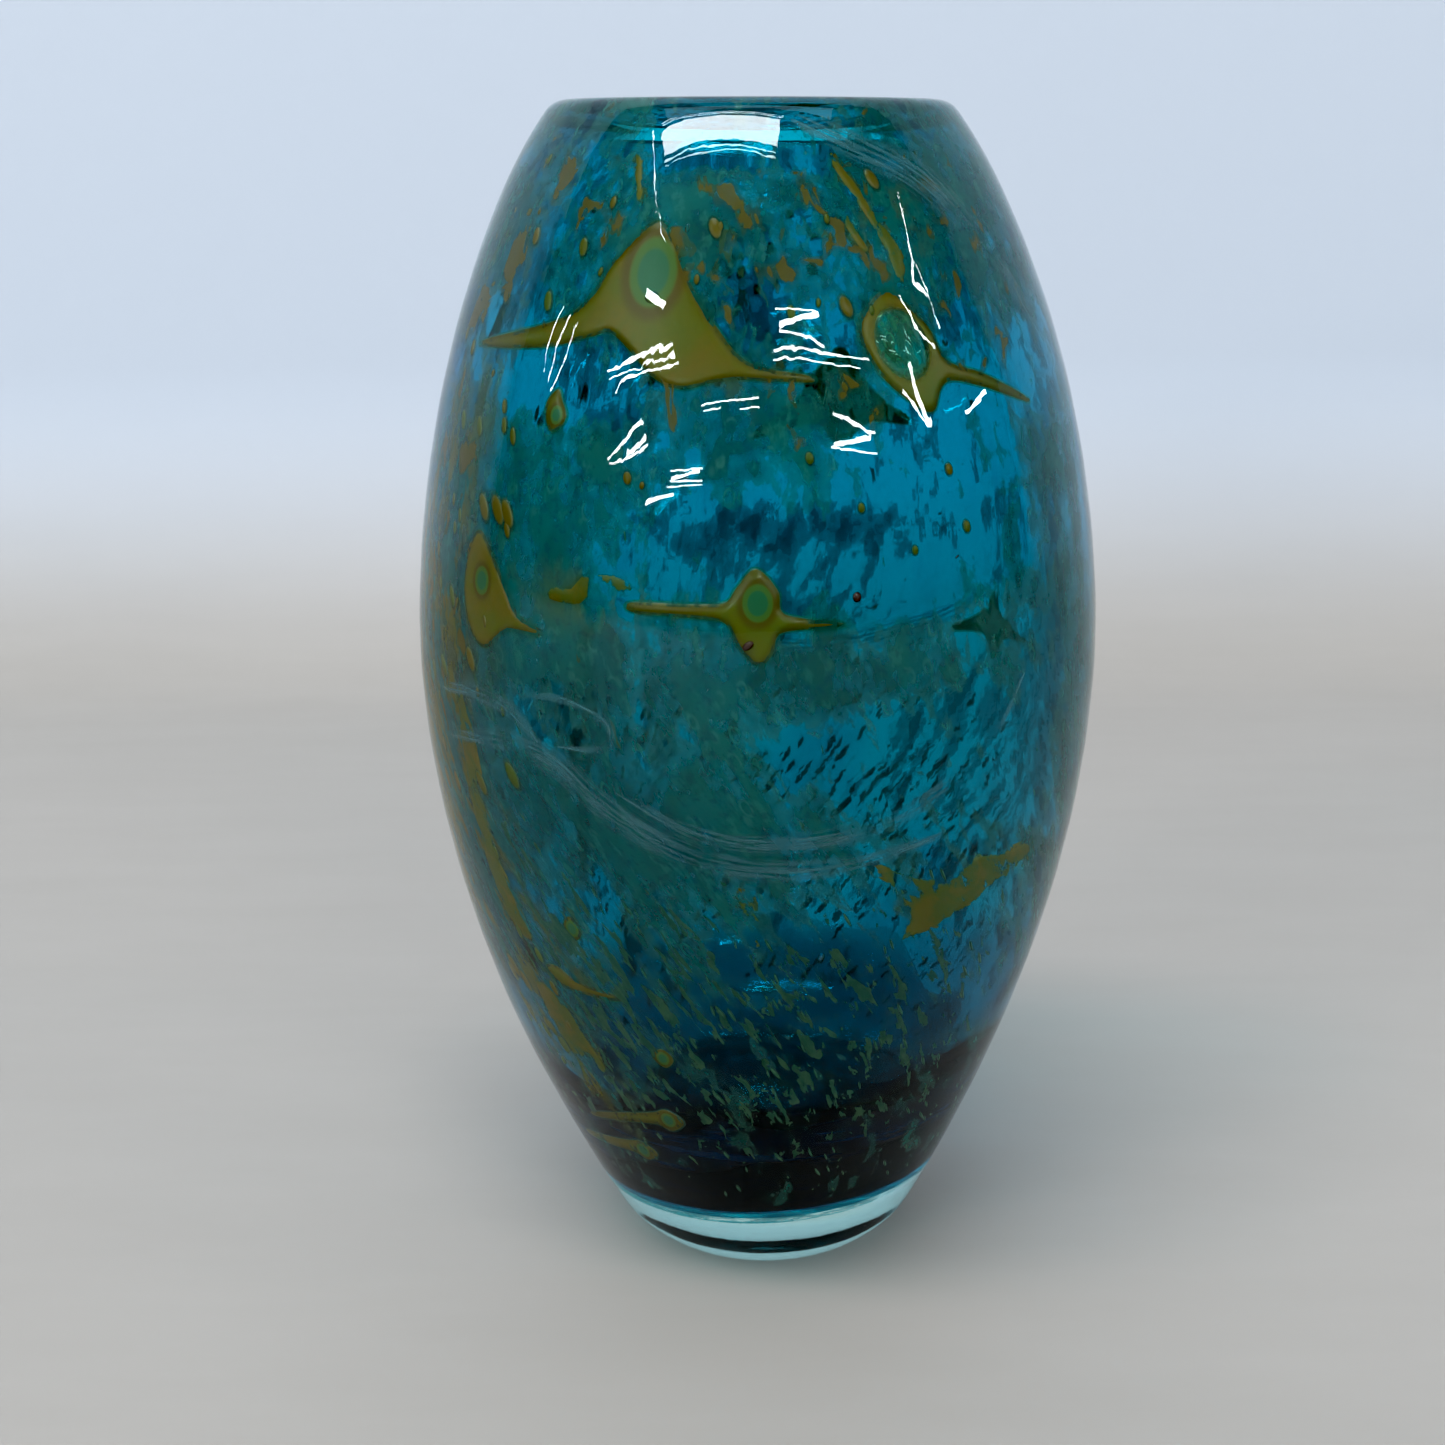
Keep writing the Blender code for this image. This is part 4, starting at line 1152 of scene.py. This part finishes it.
def camera():
    """Stands close in front of the vase and a little above the mouth, looking down at it."""
    pitch, yaw, roll = (math.radians(a) for a in (16.76, -1.075, -0.877))
    ahead = Vector((math.sin(yaw) * math.cos(pitch), math.cos(yaw) * math.cos(pitch), -math.sin(pitch)))
    right = ahead.cross(Vector((0.0, 0.0, 1.0))).normalized()
    up = right.cross(ahead)
    turned_right = math.cos(roll) * right + math.sin(roll) * up
    turned_up = math.cos(roll) * up - math.sin(roll) * right
    axes = Matrix((turned_right, turned_up, -ahead)).transposed()
    data = bpy.data.cameras.new("camera")
    data.sensor_width = 36.0
    data.lens = 48.6
    data.clip_start = 0.01
    thing = bpy.data.objects.new("camera", data)
    thing.matrix_world = Matrix.Translation((0.0, -0.2719, 0.1598)) @ axes.to_4x4()
    bpy.context.collection.objects.link(thing)
    bpy.context.scene.camera = thing


TUBE_GLARE = 100.0          # watts for each square metre of tube
TUBE_DISTANCE = 2.4
WINDOW_GLARE = 46.0         # watts for each square metre of window
WINDOW_WIDTH = 1.80
WINDOW_PLACE = (-0.46, -0.80, 2.4)
WINDOW_TURN = -8.0
BLACK_POINT = 0.022         # the darkest glass prints as black, without the room's haze on it


def lamp(name, size, power, colour, matrix):
    """Flat lamp that shines along its own -Z."""
    data = bpy.data.lights.new(name, "AREA")
    data.shape = "RECTANGLE"
    data.size, data.size_y = size
    data.energy = power
    data.color = colour
    thing = bpy.data.objects.new(name, data)
    thing.matrix_world = matrix
    bpy.context.collection.objects.link(thing)


def towards(azimuth, elevation):
    """Direction from the vase, azimuth counted from its front towards +X."""
    a, e = math.radians(azimuth), math.radians(elevation)
    return Vector((math.sin(a) * math.cos(e), -math.cos(a) * math.cos(e), math.sin(e)))


def tube_lamp(name, start, end, width):
    """A thin bright lamp between two directions, as seen from the vase."""
    middle = Vector((0.0, 0.0, 0.125))
    first, last = (middle + TUBE_DISTANCE * towards(*way) for way in (start, end))
    length = (last - first).length
    place = 0.5 * (first + last)
    along = (last - first).normalized()
    side = (place - middle).cross(along).normalized()
    turn = Matrix((along, side, along.cross(side))).transposed().to_4x4()
    lamp(name, (length, width), TUBE_GLARE * length * width, (1.0, 1.0, 1.0),
         Matrix.Translation(place) @ turn)


# Tubes hung in crooked groups under the ceiling, group by group: start and end as
# (azimuth, elevation) in degrees, and the tube's width in metres.
TUBES = [
    ((-82, 24.5), (-85, 19.5), 0.012), ((-85, 19.5), (-84, 17), 0.010), ((-77, 24), (-80, 20.5), 0.014),
    ((-80, 20.5), (-80, 16.5), 0.012), ((-72.5, 24), (-75, 20.5), 0.012), ((-75, 20.5), (-78, 15.5), 0.010),
    ((-32, 28.5), (-56, 23), 0.012), ((-31, 28), (-55, 22.4), 0.008),
    ((-29, 27.5), (-49, 23.5), 0.014), ((-49, 23.5), (-52, 20.5), 0.020),
    ((11, 34), (29, 32.5), 0.014), ((29, 32.3), (12, 31.6), 0.030), ((11.5, 31), (28.5, 29.6), 0.012),
    ((9, 29.4), (44, 26.4), 0.012), ((9, 28.8), (40, 25.6), 0.010),
    ((-18, 21.3), (3, 22.7), 0.014), ((-17, 20.4), (-10.5, 21), 0.010), ((-3.5, 21), (3, 21.2), 0.010),
    ((-40.5, 18), (-52, 14), 0.016), ((-37.5, 16.7), (-50.5, 13.4), 0.014),
    ((-38.5, 17.2), (-45, 15.4), 0.020),
    ((28, 20.6), (42, 18), 0.012), ((41, 17.8), (27, 18.2), 0.026), ((26, 18), (43, 15.2), 0.012),
    ((-28.5, 14.3), (-17, 15.2), 0.012), ((-17.5, 14.8), (-27.5, 13.1), 0.026),
    ((-28.5, 12.5), (-17, 13.1), 0.012), ((-29, 11.4), (-17, 12.4), 0.010),
    ((-37, 8.8), (-26.5, 10.4), 0.022),
    ((82, 40), (76.5, 34.5), 0.010), ((76.5, 34.5), (72.5, 29.5), 0.035), ((72.5, 29.5), (77, 27), 0.025),
    ((64, 30), (67.5, 26.5), 0.014), ((67.5, 26.5), (74, 22), 0.018), ((75.5, 32), (79, 23.5), 0.010),
    ((61.5, 22.5), (61.5, 19), 0.060), ((61.5, 19), (65.5, 15.5), 0.045), ((56, 19.5), (65, 15.5), 0.016),
    ((92, 14), (80, 14.3), 0.016), ((-47, 34.6), (-37, 33.6), 0.070),
    ((-76, 56.5), (-50, 45.6), 0.008), ((-49, 46), (-41.5, 41), 0.006),
]
# The ceiling window's panes: how far each stands from the middle, and its depth, in metres.
PANES = [(0.30, 0.016), (0.25, 0.022), (0.0, 0.36), (-0.25, 0.018), (-0.31, 0.014)]


def sheet_of_floor():
    """Floor that sweeps up into the wall behind."""
    sweep = 0.09
    turns = np.linspace(0.0, 0.5 * math.pi, 12)
    run = [(-2.6, 0.0), (-1.2, 0.0), (-0.5, 0.0), (0.0, 0.0)]
    run += [(0.27 + sweep * math.sin(t), sweep * (1.0 - math.cos(t))) for t in turns]
    run.append((0.36, 1.6))
    points = [(x, y, z) for y, z in run for x in (-2.6, 2.6)]
    faces = [(2 * i, 2 * i + 1, 2 * i + 3, 2 * i + 2) for i in range(len(run) - 1)]
    new_piece("floor", np.array(points), faces, floor_finish())


def studio():
    """A pale floor and wall, a soft window overhead, a few ceiling tubes and an even, dim room."""
    sheet_of_floor()
    turn = Matrix.Rotation(math.radians(WINDOW_TURN), 4, "Z")
    for number, (offset, depth) in enumerate(PANES):
        place = Matrix.Translation(WINDOW_PLACE) @ turn @ Matrix.Translation((0.0, offset, 0.0))
        lamp(f"window_pane_{number}", (WINDOW_WIDTH, depth), WINDOW_GLARE * WINDOW_WIDTH * depth,
             (0.95, 0.98, 1.0), place)
    wash, wall_foot = Vector((0.0, -0.15, 1.7)), Vector((0.0, 0.36, 0.25))
    aim = (wall_foot - wash).to_track_quat("-Z", "Y").to_matrix().to_4x4()
    lamp("wall_wash", (1.6, 0.3), 1.6, (0.92, 0.97, 1.0), Matrix.Translation(wash) @ aim)
    for number, (start, end, width) in enumerate(TUBES):
        tube_lamp(f"tube_{number}", start, end, width)
    scene = bpy.context.scene
    scene.world = bpy.data.worlds.new("room")
    scene.world.use_nodes = True
    room = scene.world.node_tree.nodes["Background"].inputs
    room["Color"].default_value = rgb(0.80, 0.87, 0.95)
    room["Strength"].default_value = 0.22
    scene.view_settings.view_transform = "Standard"
    scene.view_settings.look = "Medium High Contrast"
    scene.view_settings.use_curve_mapping = True
    scene.view_settings.curve_mapping.black_level = (BLACK_POINT, BLACK_POINT, BLACK_POINT)
    scene.view_settings.curve_mapping.update()
    scene.cycles.transparent_max_bounces = 40
    scene.cycles.max_bounces = 20
    scene.cycles.transmission_bounces = 20
    scene.cycles.glossy_bounces = 6
    scene.cycles.diffuse_bounces = 3


# ======== putting the vase together ========

camera()
studio()

CLEAR = clear_glass()
OCHRE = ochre_glass()
STREAKS = streaked_ochre()
FLECK = sage_fleck()

wall = turned("clear_wall_blown", clear_profile(), CLEAR, blown_surface)
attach(wall, "root")
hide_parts("outer_casing", "inner_lining", "clear_foot")

cup = cup_profile(OVERLAY, COLOUR_TOP, 90)
overlay = turned("turquoise_overlay_blown", cup, turquoise_glass(), colour_tilt)
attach(overlay, "root")
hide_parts("turquoise_overlay")

cup = cup_profile(BASE_CUP, BASE_CUP_TOP, 26)
base_cup = turned("amethyst_base_cup_blown", cup, amethyst_glass(), ragged_top)
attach(base_cup, "root")
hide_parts("amethyst_base_cup")

frit = veil(sage_frit())
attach(frit, "root")
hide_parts("frit_veil")

for node, corners in CHIP_OUTLINES.items():
    melted = chip(node, corners, STREAKS if node in STREAKED else OCHRE)
    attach(melted, "root")
    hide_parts(node)

STREWING = strewing_tree()
SPECK = speck_glass()
strew_everything()
bubbles_and_seeds()
milky_threads()
